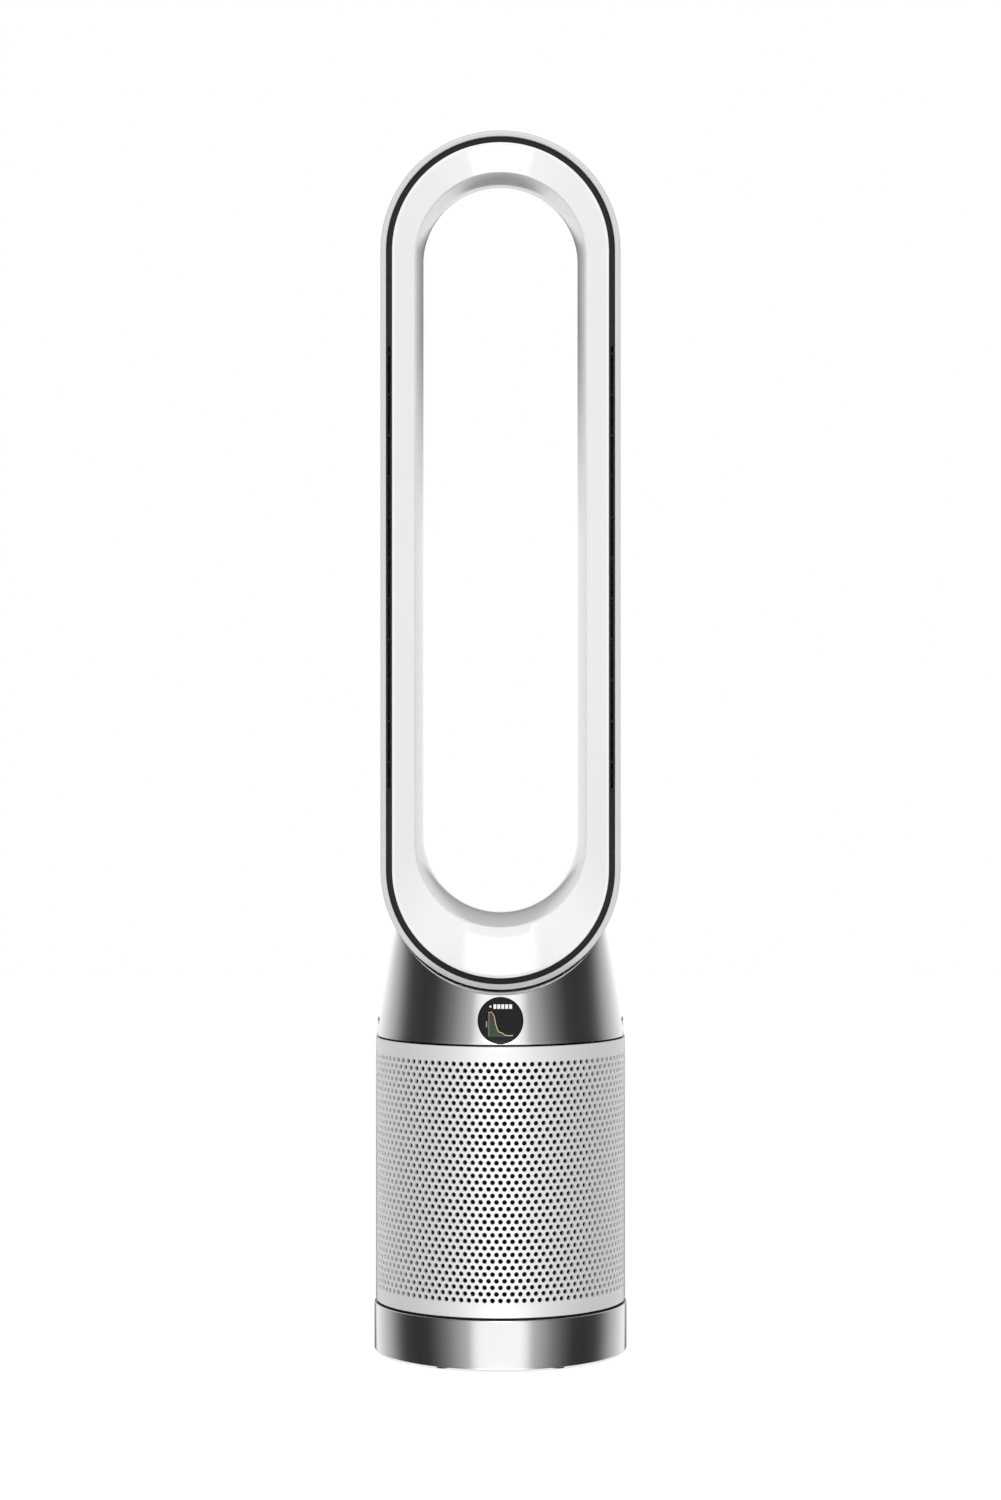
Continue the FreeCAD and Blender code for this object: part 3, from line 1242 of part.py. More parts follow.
def loop_outer_shell():
    """Outer wall of the loop with its front rim and its closed back."""
    back = LOOP_BACK_Y
    solid = rounded_back(stadium_prism(0, LOOP_FRONT_Y, back), LOOP_BACK_ROUND, back)
    inner_back = back - LOOP_WALL
    cavity = stadium_prism(LOOP_WALL, TRIM_FRONT_Y, inner_back)
    cavity = rounded_back(cavity, LOOP_BACK_ROUND - LOOP_WALL, inner_back)
    mouth = stadium_prism(LOOP_RIM, LOOP_FRONT_Y, TRIM_FRONT_Y)
    opening = Part.Face(stadium(*BACK_INSET, inner_back)).extrude(Vector(0, LOOP_WALL, 0))
    shell = solid.cut(joined([cavity, mouth])).cut(opening)
    bosses = [
        rod(BOSS_RADIUS, ARC_CENTRE_Z - LOOP_RADIUS, seat_z(LOOP_RADIUS, x) + 10.0, x, y).common(
            lying_rod(LOOP_RADIUS - LOOP_WALL / 2)
        )
        for x, y in loop_screw_points()
    ]
    cups = [magnet_rod(MAGNET_DISC_RADIUS + 1.5, 0.0, MAGNET_DISC_THICKNESS + 3.0, s) for s in (-1, 1)]
    shell = joined([shell, *bosses, *cups])
    for x, y in loop_screw_points():
        shell = shell.cut(screw_hole(x, y, LOOP_Z0, loop_screw_z() + loop_screw_length()))
    for side in (-1, 1):
        shell = shell.cut(magnet_rod(MAGNET_DISC_RADIUS, 0.0, MAGNET_DISC_THICKNESS + 1.0, side))
    return shell.cut(oval_prism(PORT_WIDTH / 2, PORT_DEPTH / 2, LOOP_Z0 - OVERSHOOT, LOOP_Z0 + 20.0))


def magnet_rod(radius, start, end, side):
    """Disc under the loop's top wall, between two distances in from a plane inside the wall."""
    angle = side * math.asin(MAGNET_SPREAD / 2 / LOOP_RADIUS)
    outward = Vector(math.sin(angle), 0, math.cos(angle))
    centre = Vector(0, 0, LOOP_Z1 - LOOP_RADIUS)
    reach = LOOP_RADIUS - LOOP_WALL - MAGNET_DISC_THICKNESS - 2.0
    return Part.makeCylinder(radius, end - start, centre + outward * (reach + start), outward)


def dock_magnets():
    """Two magnets under the loop's top, that hold the remote control."""
    return group([magnet_rod(MAGNET_DISC_RADIUS, 1.0, MAGNET_DISC_THICKNESS + 1.0, s) for s in (-1, 1)])


def loop_inner_shell():
    """Inner wall of the loop: lip, bevel, and the throat that the air is drawn through."""
    lip_y = LOOP_FRONT_Y + LIP_STEP
    edge_y = LOOP_FRONT_Y + BEVEL_DEPTH
    end_y = LOOP_BACK_Y - LOOP_WALL
    lip = (LIP_INSET, LIP_INSET, LIP_INSET)
    flat = shrunk(lip, -LIP_WIDTH)
    outside = Part.makeLoft(
        [
            stadium(*lip, lip_y),
            stadium(*lip, lip_y + LIP_DEPTH),
            stadium(*shrunk(FRONT_INSET, LOOP_WALL), edge_y + BEVEL_WALL),
            stadium(*shrunk(THROAT_INSET, LOOP_WALL), THROAT_BEHIND),
            stadium(*shrunk(BACK_INSET, LOOP_WALL), end_y),
        ],
        True,
        True,
    )
    bevel = Part.makeLoft([stadium(*flat, lip_y), stadium(*FRONT_INSET, edge_y)], True, True)
    throat = Part.makeLoft(
        [stadium(*FRONT_INSET, edge_y), stadium(*THROAT_INSET, THROAT_BEHIND), stadium(*BACK_INSET, end_y)],
        True,
        True,
    )
    return outside.cut(bevel).cut(throat)


def slot_trim():
    """Dark strip at the bottom of the slot, with a row of long air slots on each side."""
    strip = stadium_prism(LOOP_WALL, TRIM_FRONT_Y, TRIM_FRONT_Y + TRIM_THICKNESS)
    strip = strip.cut(stadium_prism(LIP_INSET, TRIM_FRONT_Y, TRIM_FRONT_Y + TRIM_THICKNESS))
    z0 = LOOP_Z0 + AIR_SLOT_RISE
    z1 = z0 + AIR_SLOT_LENGTH
    levels = [z0 - WEB_WIDTH]
    web = z0 + WEB_RISE
    while web < z1:
        levels.append(web)
        web += WEB_PITCH
    levels.append(z1)
    x = LOOP_RADIUS - LOOP_RIM - SLOT_WIDTH / 2
    half = AIR_SLOT_WIDTH / 2
    y0 = TRIM_FRONT_Y
    y1 = y0 + TRIM_THICKNESS
    for low, high in zip(levels, levels[1:]):
        for side in (-x, x):
            strip = strip.cut(block(side - half, side + half, y0, y1, low + WEB_WIDTH, high))
    return strip


PARTS = {
    "base_skirt": base_skirt,
    "base_plate": base_plate,
    "rubber_feet": rubber_feet,
    "ballast_plate": ballast_plate,
    "base_screws": base_screws,
    "cable_gland": cable_gland,
    "supply_board": supply_board,
    "swivel_gear": swivel_gear,
    "glide_ring": glide_ring,
    "swivel_retainer": swivel_retainer,
    "turntable": turntable,
    "swivel_motor": swivel_motor,
    "drive_pinion": drive_pinion,
    "gearbox_shaft": gearbox_shaft,
    "filter_cage": filter_cage,
    "body_screws": body_screws,
    "bucket": bucket,
    "bucket_mounts": bucket_mounts,
    "inlet_bell": inlet_bell,
    "impeller": impeller,
    "motor_shaft": motor_shaft,
    "rotor_magnet": rotor_magnet,
    "motor_case": motor_case,
    "motor_bearings": motor_bearings,
    "stator_core": stator_core,
    "stator_coils": stator_coils,
    "diffuser": diffuser,
    "tail_cone": tail_cone,
    "front_cover_screen": cover_screen,
    "front_cover_frame": cover_frame,
    "front_filter_frame": filter_frame,
    "front_filter_seals": filter_seals,
    "front_filter_pleats": filter_pleats,
    "front_filter_carbon": filter_carbon,
    "rear_cover_screen": lambda: turned(cover_screen(), 180),
    "rear_cover_frame": lambda: turned(cover_frame(), 180),
    "rear_filter_frame": lambda: turned(filter_frame(), 180),
    "rear_filter_seals": lambda: turned(filter_seals(), 180),
    "rear_filter_pleats": lambda: turned(filter_pleats(), 180),
    "rear_filter_carbon": lambda: turned(filter_carbon(), 180),
    "collar": collar,
    "duct": duct,
    "duct_seal": duct_seal,
    "loop_gasket": loop_gasket,
    "loop_screws": loop_screws,
    "display_lens": display_lens,
    "display_module": display_module,
    "main_board": main_board,
    "right_button": release_button,
    "left_button": lambda: turned(release_button(), 180),
    "right_spring": button_spring,
    "left_spring": lambda: turned(button_spring(), 180),
    "button_brackets": lambda: both_sides(button_bracket()),
    "standby_button": standby_button,
    "standby_switch": standby_switch,
    "air_sensor": air_sensor,
    "loop_outer_shell": loop_outer_shell,
    "loop_inner_shell": loop_inner_shell,
    "slot_trim": slot_trim,
    "dock_magnets": dock_magnets,
}

os.makedirs("parts", exist_ok=True)
for name, make in PARTS.items():
    shape = make()
    shape.exportStep(f"parts/{name}.step")
    box = shape.BoundBox
    print(
        f"{name}: {len(shape.Solids)} solids, {shape.Volume / 1000:.1f} cm3, valid {shape.isValid()}, "
        f"z {box.ZMin:.1f} to {box.ZMax:.1f}, y {box.YMin:.1f} to {box.YMax:.1f}"
    )
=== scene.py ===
# %% [markdown]
# # A bladeless tower fan
# The fan has four parts that show: a bright metal ring on the floor, a round body whose covers
# are full of small holes, a tapered metal collar with a round display, and a tall loop that
# blows air from a slot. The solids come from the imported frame. This script gives them their
# finishes, and rebuilds the pieces whose edges, holes and curves need more detail.

import json
import math

import bmesh
import bpy
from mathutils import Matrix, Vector


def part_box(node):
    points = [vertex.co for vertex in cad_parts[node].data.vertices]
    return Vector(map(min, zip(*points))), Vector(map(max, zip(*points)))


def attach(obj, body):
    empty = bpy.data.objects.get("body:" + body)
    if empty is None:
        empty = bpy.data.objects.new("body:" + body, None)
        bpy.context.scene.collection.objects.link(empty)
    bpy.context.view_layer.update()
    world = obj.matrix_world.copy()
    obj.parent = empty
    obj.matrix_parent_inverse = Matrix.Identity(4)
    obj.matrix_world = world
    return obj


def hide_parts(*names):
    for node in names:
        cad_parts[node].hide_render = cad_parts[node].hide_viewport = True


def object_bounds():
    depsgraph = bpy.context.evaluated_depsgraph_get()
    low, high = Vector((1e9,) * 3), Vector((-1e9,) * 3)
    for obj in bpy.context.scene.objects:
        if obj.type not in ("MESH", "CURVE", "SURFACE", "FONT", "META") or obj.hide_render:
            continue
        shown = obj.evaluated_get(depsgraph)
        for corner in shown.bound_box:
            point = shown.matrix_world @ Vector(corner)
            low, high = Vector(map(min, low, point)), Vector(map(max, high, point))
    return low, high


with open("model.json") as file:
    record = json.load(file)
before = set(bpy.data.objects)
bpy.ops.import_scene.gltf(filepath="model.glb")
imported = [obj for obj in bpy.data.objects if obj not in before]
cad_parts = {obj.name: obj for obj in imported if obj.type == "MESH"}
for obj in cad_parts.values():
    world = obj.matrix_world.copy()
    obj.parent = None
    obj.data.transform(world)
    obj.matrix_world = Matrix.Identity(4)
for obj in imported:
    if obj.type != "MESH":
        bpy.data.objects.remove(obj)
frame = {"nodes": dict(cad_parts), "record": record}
cad_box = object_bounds()
nodes = frame["nodes"]
mm = 0.001

# %% [markdown]
# ## Levels and radii
# Every place in this script follows from the solids' own boxes, so the new pieces sit where
# the solids were. Only sizes that a box can't tell, such as a wall's thickness, are named here.

# %% Measure the solids
skirt_low, skirt_high = map(Vector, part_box("base_skirt"))
cover_low, cover_high = map(Vector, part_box("front_cover_screen"))
loop_low, loop_high = map(Vector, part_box("loop_outer_shell"))
lining_low = Vector(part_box("loop_inner_shell")[0])
lens_low, lens_high = map(Vector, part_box("display_lens"))

ring_radius = skirt_high.x
cover_radius = cover_high.x
loop_radius = loop_high.x
loop_bottom = loop_low.z
loop_top = loop_high.z
arc_height = loop_bottom + loop_radius
print("ring radius", round(ring_radius, 4), "cover radius", round(cover_radius, 4))
print("loop from", round(loop_bottom, 4), "to", round(loop_top, 4))

# %% [markdown]
# ## Shader maths in plain expressions
# A material is a graph of small nodes. Writing each Math node by hand hides the idea, so one
# small class wraps an output socket and lets Python's own + - * / build those nodes.


# %% A socket that does arithmetic
class Signal:
    """The output of a shader node, which can be added, multiplied and so on."""

    def __init__(self, tree, socket):
        self.tree = tree
        self.socket = socket

    def combine(self, operation, first, second):
        node = self.tree.nodes.new("ShaderNodeMath")
        node.operation = operation
        for slot, value in zip(node.inputs, (first, second)):
            if isinstance(value, Signal):
                self.tree.links.new(value.socket, slot)
            else:
                slot.default_value = value
        return Signal(self.tree, node.outputs[0])

    def __add__(self, other):
        return self.combine("ADD", self, other)

    def __radd__(self, other):
        return self.combine("ADD", other, self)

    def __sub__(self, other):
        return self.combine("SUBTRACT", self, other)

    def __rsub__(self, other):
        return self.combine("SUBTRACT", other, self)

    def __mul__(self, other):
        return self.combine("MULTIPLY", self, other)

    def __rmul__(self, other):
        return self.combine("MULTIPLY", other, self)

    def __truediv__(self, other):
        return self.combine("DIVIDE", self, other)

    def __rtruediv__(self, other):
        return self.combine("DIVIDE", other, self)


class Graph:
    """A node tree that is built from short calls."""

    def __init__(self, tree):
        self.tree = tree
        tree.nodes.clear()

    def node(self, kind, settings=None, inputs=None, output=0):
        """Adds a node: its settings first, then the values or links of its sockets."""
        node = self.tree.nodes.new("ShaderNode" + kind)
        for name, value in (settings or {}).items():
            if name == "stops":
                self.set_stops(node.color_ramp, value)
            else:
                setattr(node, name, value)
        for name, value in (inputs or {}).items():
            if isinstance(value, Signal):
                self.tree.links.new(value.socket, node.inputs[name])
            else:
                node.inputs[name].default_value = value
        return Signal(self.tree, node.outputs[output]) if len(node.outputs) else None

    def set_stops(self, ramp, stops):
        """Puts a ramp's colours at their places, in rising order."""
        while len(ramp.elements) > len(stops):
            ramp.elements.remove(ramp.elements[-1])
        while len(ramp.elements) < len(stops):
            ramp.elements.new(1.0)
        for element, (place, colour) in zip(ramp.elements, stops):
            element.position = place
            element.color = colour

    def grey_ramp(self, value, stops):
        """A ramp between greys, from (place, brightness) pairs."""
        colours = [(place, (level, level, level, 1.0)) for place, level in stops]
        return self.node("ValToRGB", {"stops": colours}, {"Fac": value})

    def mix(self, amount, first, second):
        """A colour between two colours."""
        sockets = {0: amount, 6: first, 7: second}
        return self.node("Mix", {"data_type": "RGBA"}, sockets, output=2)

    def place(self):
        """The point's own place on the piece, in metres."""
        return self.node("TexCoord", output=3)

    def stretched(self, scale):
        """The point's place, squeezed or stretched along each axis."""
        inputs = {0: self.place(), 1: scale}
        return self.node("VectorMath", {"operation": "MULTIPLY"}, inputs)

    def noise(self, scale, detail=3.0, rough=0.55, where=None):
        """Soft random pattern from 0 to 1."""
        where = where or self.place()
        inputs = {"Vector": where, "Scale": scale, "Detail": detail, "Roughness": rough}
        return self.node("TexNoise", None, inputs)

    def bump(self, height, depth, distance=0.0002):
        """A surface normal that follows a height."""
        inputs = {"Strength": depth, "Distance": distance, "Height": height}
        return self.node("Bump", None, inputs)


print("shader helpers ready")

# %% [markdown]
# ## Finishes
# Real plastics and metals are never one flat colour. Each finish here starts from its base
# colour, then a slow noise drifts the colour and a fine noise changes the roughness and the
# surface's height. The differences are small: they show in highlights, not as spots.


# %% Three recipes
def tint(colour, amount):
    """The colour, made lighter or darker, with an alpha of one."""
    return tuple(min(channel * amount, 1.0) for channel in colour) + (1.0,)


def start(name):
    """A new material and its empty graph."""
    material = bpy.data.materials.new(name)
    material.use_nodes = True
    return material, Graph(material.node_tree)


def finish_with(graph, shader_inputs):
    """Ends a graph in one surface shader."""
    surface = graph.node("BsdfPrincipled", None, shader_inputs)
    graph.node("OutputMaterial", None, {"Surface": surface})


def plastic(name, colour, roughness=0.45, grain=1400.0, depth=0.12, drift=0.06, coat=0.0, more=None):
    """Moulded plastic or paint: slow colour drift, fine grain in the gloss and the height."""
    material, graph = start(name)
    slow = graph.noise(9.0, detail=2.0)
    fine = graph.noise(grain, detail=2.0)
    base = graph.mix(slow, tint(colour, 1 - drift), tint(colour, 1 + drift))
    inputs = {
        "Base Color": base,
        "Roughness": roughness - 0.05 + fine * 0.10,
        "Normal": graph.bump(fine, depth),
        "Coat Weight": coat,
        "Coat Roughness": 0.08,
    }
    inputs.update(more or {})
    finish_with(graph, inputs)
    return material


def metal(name, colour, roughness=0.25, along=(1.0, 1.0, 1.0), depth=0.05, drift=0.04, scale=700.0):
    """Bare metal. The grain is stretched along the way the surface was turned or brushed."""
    material, graph = start(name)
    slow = graph.noise(14.0, detail=2.0)
    grain = graph.noise(scale, detail=3.0, where=graph.stretched(along))
    inputs = {
        "Base Color": graph.mix(slow, tint(colour, 1 - drift), tint(colour, 1 + drift)),
        "Metallic": 1.0,
        "Roughness": roughness - 0.03 + grain * 0.06,
        "Normal": graph.bump(grain, depth, 0.00005),
    }
    finish_with(graph, inputs)
    return material


print("recipes: plastic, metal")

# %% [markdown]
# ## Finishes that need their own pattern
# The filter sheet shows fibres, the carbon layer shows grains, the coils show their wire, and
# the circuit board shows copper tracks under green lacquer.


# %% Patterned finishes
def fibre_sheet(name, colour):
    """Glass-fibre filter sheet: fine crossed fibres."""
    material, graph = start(name)
    fibres = graph.noise(2600.0, detail=4.0, where=graph.stretched((1.0, 1.0, 0.15)))
    clouds = graph.noise(60.0)
    shade = graph.mix(clouds, tint(colour, 0.90), tint(colour, 1.03))
    inputs = {"Base Color": shade, "Roughness": 0.85 + fibres * 0.1, "Normal": graph.bump(fibres, 0.5)}
    finish_with(graph, inputs)
    return material


def carbon_grains(name):
    """Black carbon granules held in a net."""
    material, graph = start(name)
    inputs = {"Vector": graph.place(), "Scale": 520.0}
    cells = graph.node("TexVoronoi", None, inputs)
    shade = graph.mix(cells, (0.012, 0.012, 0.012, 1.0), (0.06, 0.06, 0.06, 1.0))
    finish_with(
        graph,
        {"Base Color": shade, "Roughness": 0.55 + cells * 0.3, "Normal": graph.bump(cells, 0.8, 0.0008)},
    )
    return material


def wound_wire(name, colour):
    """Lacquered copper wire, wound in even turns."""
    material, graph = start(name)
    settings = {"wave_type": "BANDS", "bands_direction": "Z"}
    turns = graph.node("TexWave", settings, {"Vector": graph.place(), "Scale": 320.0}, output=1)
    shade = graph.mix(turns, tint(colour, 0.45), tint(colour, 1.1))
    inputs = {"Base Color": shade, "Metallic": 1.0, "Roughness": 0.28 + turns * 0.1}
    inputs["Normal"] = graph.bump(turns, 0.6, 0.0004)
    finish_with(graph, inputs)
    return material


def circuit_board(name, colour):
    """Green lacquered board with paler tracks under the lacquer."""
    material, graph = start(name)
    settings = {"feature": "DISTANCE_TO_EDGE"}
    edges = graph.node("TexVoronoi", settings, {"Vector": graph.place(), "Scale": 240.0})
    tracks = graph.grey_ramp(edges, [(0.0, 1.0), (0.06, 1.0), (0.09, 0.0)])
    shade = graph.mix(tracks, tint(colour, 1.0), tint(colour, 1.9))
    inputs = {"Base Color": shade, "Roughness": 0.30 + edges * 0.2, "Normal": graph.bump(tracks, 0.2)}
    finish_with(graph, inputs)
    return material


def woven_net(name, colour):
    """Fine woven net of dark thread, used for the sheet that paints the shade behind the cover's holes."""
    material, graph = start(name)
    across = {"wave_type": "BANDS", "bands_direction": "Z"}
    along = {"wave_type": "BANDS", "bands_direction": "X"}
    where = graph.place()
    threads = graph.node("TexWave", across, {"Vector": where, "Scale": 500.0}, output=1)
    warp = graph.node("TexWave", along, {"Vector": where, "Scale": 500.0}, output=1)
    weave = threads * 0.5 + warp * 0.5
    shade = graph.mix(weave, tint(colour, 0.5), tint(colour, 1.4))
    inputs = {"Base Color": shade, "Roughness": 0.75 + weave * 0.15, "Normal": graph.bump(weave, 0.5)}
    finish_with(graph, inputs)
    return material


print("recipes: fibre sheet, carbon, wire, board, net")

# %% [markdown]
# ## One finish for each material slot
# The record names a slot for every solid. A table from slot to finish keeps the solids and the
# rebuilt pieces the same, because both take their finish from here.

# %% Make the finishes
finishes = {
    "silver_metal": metal("turned_bright_metal", (0.92, 0.92, 0.92), 0.13, (0.05, 0.05, 6.0), 0.02),
    "silver_cover": plastic("pearl_silver_paint", (0.94, 0.94, 0.96), 0.42, 2600.0, 0.08, 0.02,
                            coat=0.5, more={"Metallic": 0.30}),
    "white_gloss": plastic("gloss_white", (0.62, 0.625, 0.63), 0.20, 900.0, 0.02, 0.015, coat=0.3),
    "silver_bevel": plastic("gloss_white_lining", (0.88, 0.89, 0.895), 0.08, 1800.0, 0.02, 0.01,
                            more={"Specular IOR Level": 0.9}),
    "black_plastic": plastic("moulded_black", (0.012, 0.012, 0.013), 0.50, 1500.0, 0.20, 0.20,
                             more={"Specular IOR Level": 0.25}),
    "grey_plastic": plastic("moulded_grey", (0.23, 0.235, 0.25), 0.50, 1300.0, 0.18),
    "rubber": plastic("soft_rubber", (0.022, 0.022, 0.022), 0.82, 900.0, 0.35, 0.25),
    "steel": metal("zinc_plated_steel", (0.58, 0.58, 0.56), 0.30, (1.0, 1.0, 1.0), 0.15),
    "cast_iron": metal("pressed_steel_plate", (0.16, 0.16, 0.17), 0.55, (1.0, 1.0, 1.0), 0.35, 0.2, 300.0),
    "nylon": plastic("natural_nylon", (0.74, 0.72, 0.66), 0.42, 700.0, 0.10),
    "board": circuit_board("green_circuit_board", (0.012, 0.10, 0.035)),
    "motor_steel": metal("motor_steel", (0.45, 0.45, 0.46), 0.36, (1.0, 1.0, 30.0), 0.35, 0.10, 120.0),
    "bearing_steel": metal("ground_steel", (0.62, 0.62, 0.63), 0.14, (1.0, 1.0, 20.0), 0.03),
    "copper": wound_wire("wound_copper", (0.72, 0.30, 0.12)),
    "magnet": metal("sintered_magnet", (0.10, 0.10, 0.11), 0.45, (1.0, 1.0, 1.0), 0.25, 0.2, 900.0),
    "impeller_plastic": plastic("glass_filled_black", (0.03, 0.03, 0.034), 0.40, 2200.0, 0.30, 0.20),
    "aluminium": metal("die_cast_aluminium", (0.62, 0.62, 0.64), 0.38, (1.0, 1.0, 1.0), 0.30),
    "filter_plastic": plastic("filter_frame_purple", (0.20, 0.09, 0.30), 0.45, 1200.0, 0.15),
    "filter_paper": fibre_sheet("glass_fibre_sheet", (0.80, 0.80, 0.77)),
    "carbon": carbon_grains("carbon_granules"),
    "foam": plastic("dark_foam", (0.035, 0.035, 0.036), 0.90, 600.0, 0.8, 0.3),
    "lens": plastic("smoked_lens", (0.012, 0.012, 0.012), 0.12, 1200.0, 0.0, 0.05,
                    more={"Specular IOR Level": 0.15}),
    "button": plastic("button_silver", (0.62, 0.62, 0.65), 0.32, 1600.0, 0.06, 0.02,
                      more={"Metallic": 0.6}),
}
# The dark net is painted shade: a near-black sheet behind the holes stands in for the shade inside the body.
shade_net_finish = woven_net("painted_shade_net", (0.010, 0.010, 0.011))

slot_of = {entry["node"]: entry["material_slot"] for entry in frame["record"]["subparts"]}
for name, solid in nodes.items():
    solid.data.materials.clear()
    solid.data.materials.append(finishes[slot_of[name]])
print("finishes:", len(finishes), "given to", len(nodes), "solids")

# %% [markdown]
# ## Mesh helpers
# Nearly every rebuilt piece is a stack of closed outlines with faces between neighbours, which
# is called a loft. A turned piece is the same thing with its profile carried round an axis.


# %% Pieces from outlines
def face_outward(mesh):
    """Turns every face so that its front is on the outside."""
    work = bmesh.new()
    work.from_mesh(mesh)
    bmesh.ops.recalc_face_normals(work, faces=work.faces)
    work.to_mesh(mesh)
    work.free()


def new_piece(name, points, faces, slot, body, replaced=(), finish=None, sharp=35.0):
    """Makes a mesh object, with smooth faces that stay crisp at sharp edges, and ties it to a body."""
    mesh = bpy.data.meshes.new(name)
    mesh.from_pydata([tuple(point) for point in points], [], faces)
    mesh.validate()
    face_outward(mesh)
    mesh.shade_smooth()
    mesh.set_sharp_from_angle(angle=math.radians(sharp))
    mesh.materials.append(finish or finishes[slot])
    piece = bpy.data.objects.new(name, mesh)
    bpy.context.scene.collection.objects.link(piece)
    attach(piece, body)
    if replaced:
        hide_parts(*replaced)
    return piece


def loft(rings, closed=True):
    """Points and faces between closed outlines. closed also joins the last outline to the first."""
    count = len(rings[0])
    points = [point for ring in rings for point in ring]
    faces = []
    for layer in range(len(rings) if closed else len(rings) - 1):
        above = (layer + 1) % len(rings)
        for i in range(count):
            j = (i + 1) % count
            faces.append((layer * count + i, layer * count + j, above * count + j, above * count + i))
    return points, faces


def full_turn(count):
    """Evenly spaced angles round a full turn."""
    return [2 * math.pi * i / count for i in range(count)]


def turn_profile(profile, segments=256):
    """Outlines of a turned piece: one circle for each (radius, height) of its profile."""
    return [
        [(radius * math.cos(a), radius * math.sin(a), height) for a in full_turn(segments)]
        for radius, height in profile
    ]


def rounded(corners, steps=4):
    """A closed profile whose corners (u, v, radius) are rounded."""
    profile = []
    count = len(corners)
    for i, (u, v, radius) in enumerate(corners):
        here = Vector((u, v))
        before = Vector(corners[i - 1][:2])
        after = Vector(corners[(i + 1) % count][:2])
        if radius == 0:
            profile.append((u, v))
            continue
        first = here + (before - here).normalized() * radius
        last = here + (after - here).normalized() * radius
        for step in range(steps + 1):
            t = step / steps
            point = first * (1 - t) ** 2 + here * (2 * t * (1 - t)) + last * t**2
            profile.append((point.x, point.y))
    return profile


print("mesh helpers ready")

# %% [markdown]
# ## Cutting holes
# A hole in a curved metal wall is easiest to make as on the real piece: cut with a tool of the
# hole's shape. Blender's Boolean modifier does that, and the result is kept as a plain mesh.


# %% Boolean cuts
def cutter(points, faces):
    """A solid used only to cut with."""
    mesh = bpy.data.meshes.new("cutter")
    mesh.from_pydata([tuple(point) for point in points], [], faces)
    mesh.validate()
    face_outward(mesh)
    tool = bpy.data.objects.new("cutter", mesh)
    bpy.context.scene.collection.objects.link(tool)
    return tool


def prism(outline, along):
    """Points and faces of a straight bar with the given end outline."""
    count = len(outline)
    far = [Vector(point) + Vector(along) for point in outline]
    faces = [tuple(range(count))[::-1], tuple(range(count, 2 * count))]
    faces += [(i, (i + 1) % count, count + (i + 1) % count, count + i) for i in range(count)]
    return [*map(Vector, outline), *far], faces


def cut_all(piece, tools, sharp=35.0):
    """Cuts every tool out of the piece, then throws the tools away."""
    for tool in tools:
        cut = piece.modifiers.new("cut", "BOOLEAN")
        cut.operation = "DIFFERENCE"
        cut.solver = "EXACT"
        cut.object = tool
    bpy.context.view_layer.update()
    seen = piece.evaluated_get(bpy.context.evaluated_depsgraph_get())
    mesh = bpy.data.meshes.new_from_object(seen)
    piece.modifiers.clear()
    piece.data = mesh
    mesh.shade_smooth()
    mesh.set_sharp_from_angle(angle=math.radians(sharp))
    for tool in tools:
        bpy.data.objects.remove(tool)
    print(piece.name, "cut by", len(tools), "tools, now", len(mesh.polygons), "faces")


print("cutting helpers ready")

# %% [markdown]
# ## The base ring
# A ring turned from bright metal stands on the floor. Its edges are eased by about a millimetre,
# and each eased edge catches a thin line of light. The cable leaves through a hole at the back.

# %% Turn the ring
ring_wall = 2.5 * mm
ring_ease = 1.1 * mm
ring_profile = rounded([
    (ring_radius, skirt_low.z, ring_ease),
    (ring_radius, skirt_high.z, ring_ease),
    (ring_radius - ring_wall, skirt_high.z, 0.3 * mm),
    (ring_radius - ring_wall, skirt_low.z, 0.3 * mm),
])
base_ring = new_piece("base_ring", *loft(turn_profile(ring_profile)), "silver_metal", "base", ["base_skirt"])

gland_low, gland_high = map(Vector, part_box("cable_gland"))
gland_height = (gland_low.z + gland_high.z) / 2
gland_hole = 7.15 * mm
circle = [
    (gland_hole * math.cos(a), ring_radius - 4 * ring_wall, gland_height + gland_hole * math.sin(a))
    for a in full_turn(48)
]
cut_all(base_ring, [cutter(*prism(circle, (0, 6 * ring_wall, 0)))])

# %% [markdown]
# ## The perforated covers
# Two half-round covers let air in through thousands of small holes in staggered rows. Holes that
# are only painted on look flat at an angle, so each hole is real: a cell of the sheet has a ring of
# points round its hole, triangles from there to the cell's border, and a wall through the sheet.
# The rows are staggered like brickwork, so every row border has a point at each half cell.

# %% Lay out the holes
cover_skin = 2.2 * mm
hole_radius = 2.1 * mm
hole_sides = 12
column_step = math.radians(3.55)
half_columns = 23
row_count = 37
first_row = 60.1 * mm
row_step = 5.49 * mm
edge_ease = 0.5 * mm
parting = 0.3 * mm
front = -math.pi / 2
edge_angle = math.pi / 2 - parting / cover_radius
print("holes on each cover:", sum(2 * half_columns - 1 + row % 2 for row in range(row_count)))


# %% Build one perforated cover
class Sheet:
    """A curved sheet with an outer and an inner face, built from shared points."""

    def __init__(self, middle):
        self.middle = middle
        self.points = []
        self.faces = []
        self.known = {}

    def point(self, angle, height, drop, inner):
        """Index of the point at an angle from the cover's middle. drop eases an edge inward."""
        key = (round(angle, 7), round(height, 7), inner)
        if key not in self.known:
            radius = cover_radius - (cover_skin if inner else drop)
            turn = self.middle + angle
            self.known[key] = len(self.points)
            self.points.append((radius * math.cos(turn), radius * math.sin(turn), height))
        return self.known[key]

    def face(self, corners, inner):
        self.faces.append(corners[::-1] if inner else corners)


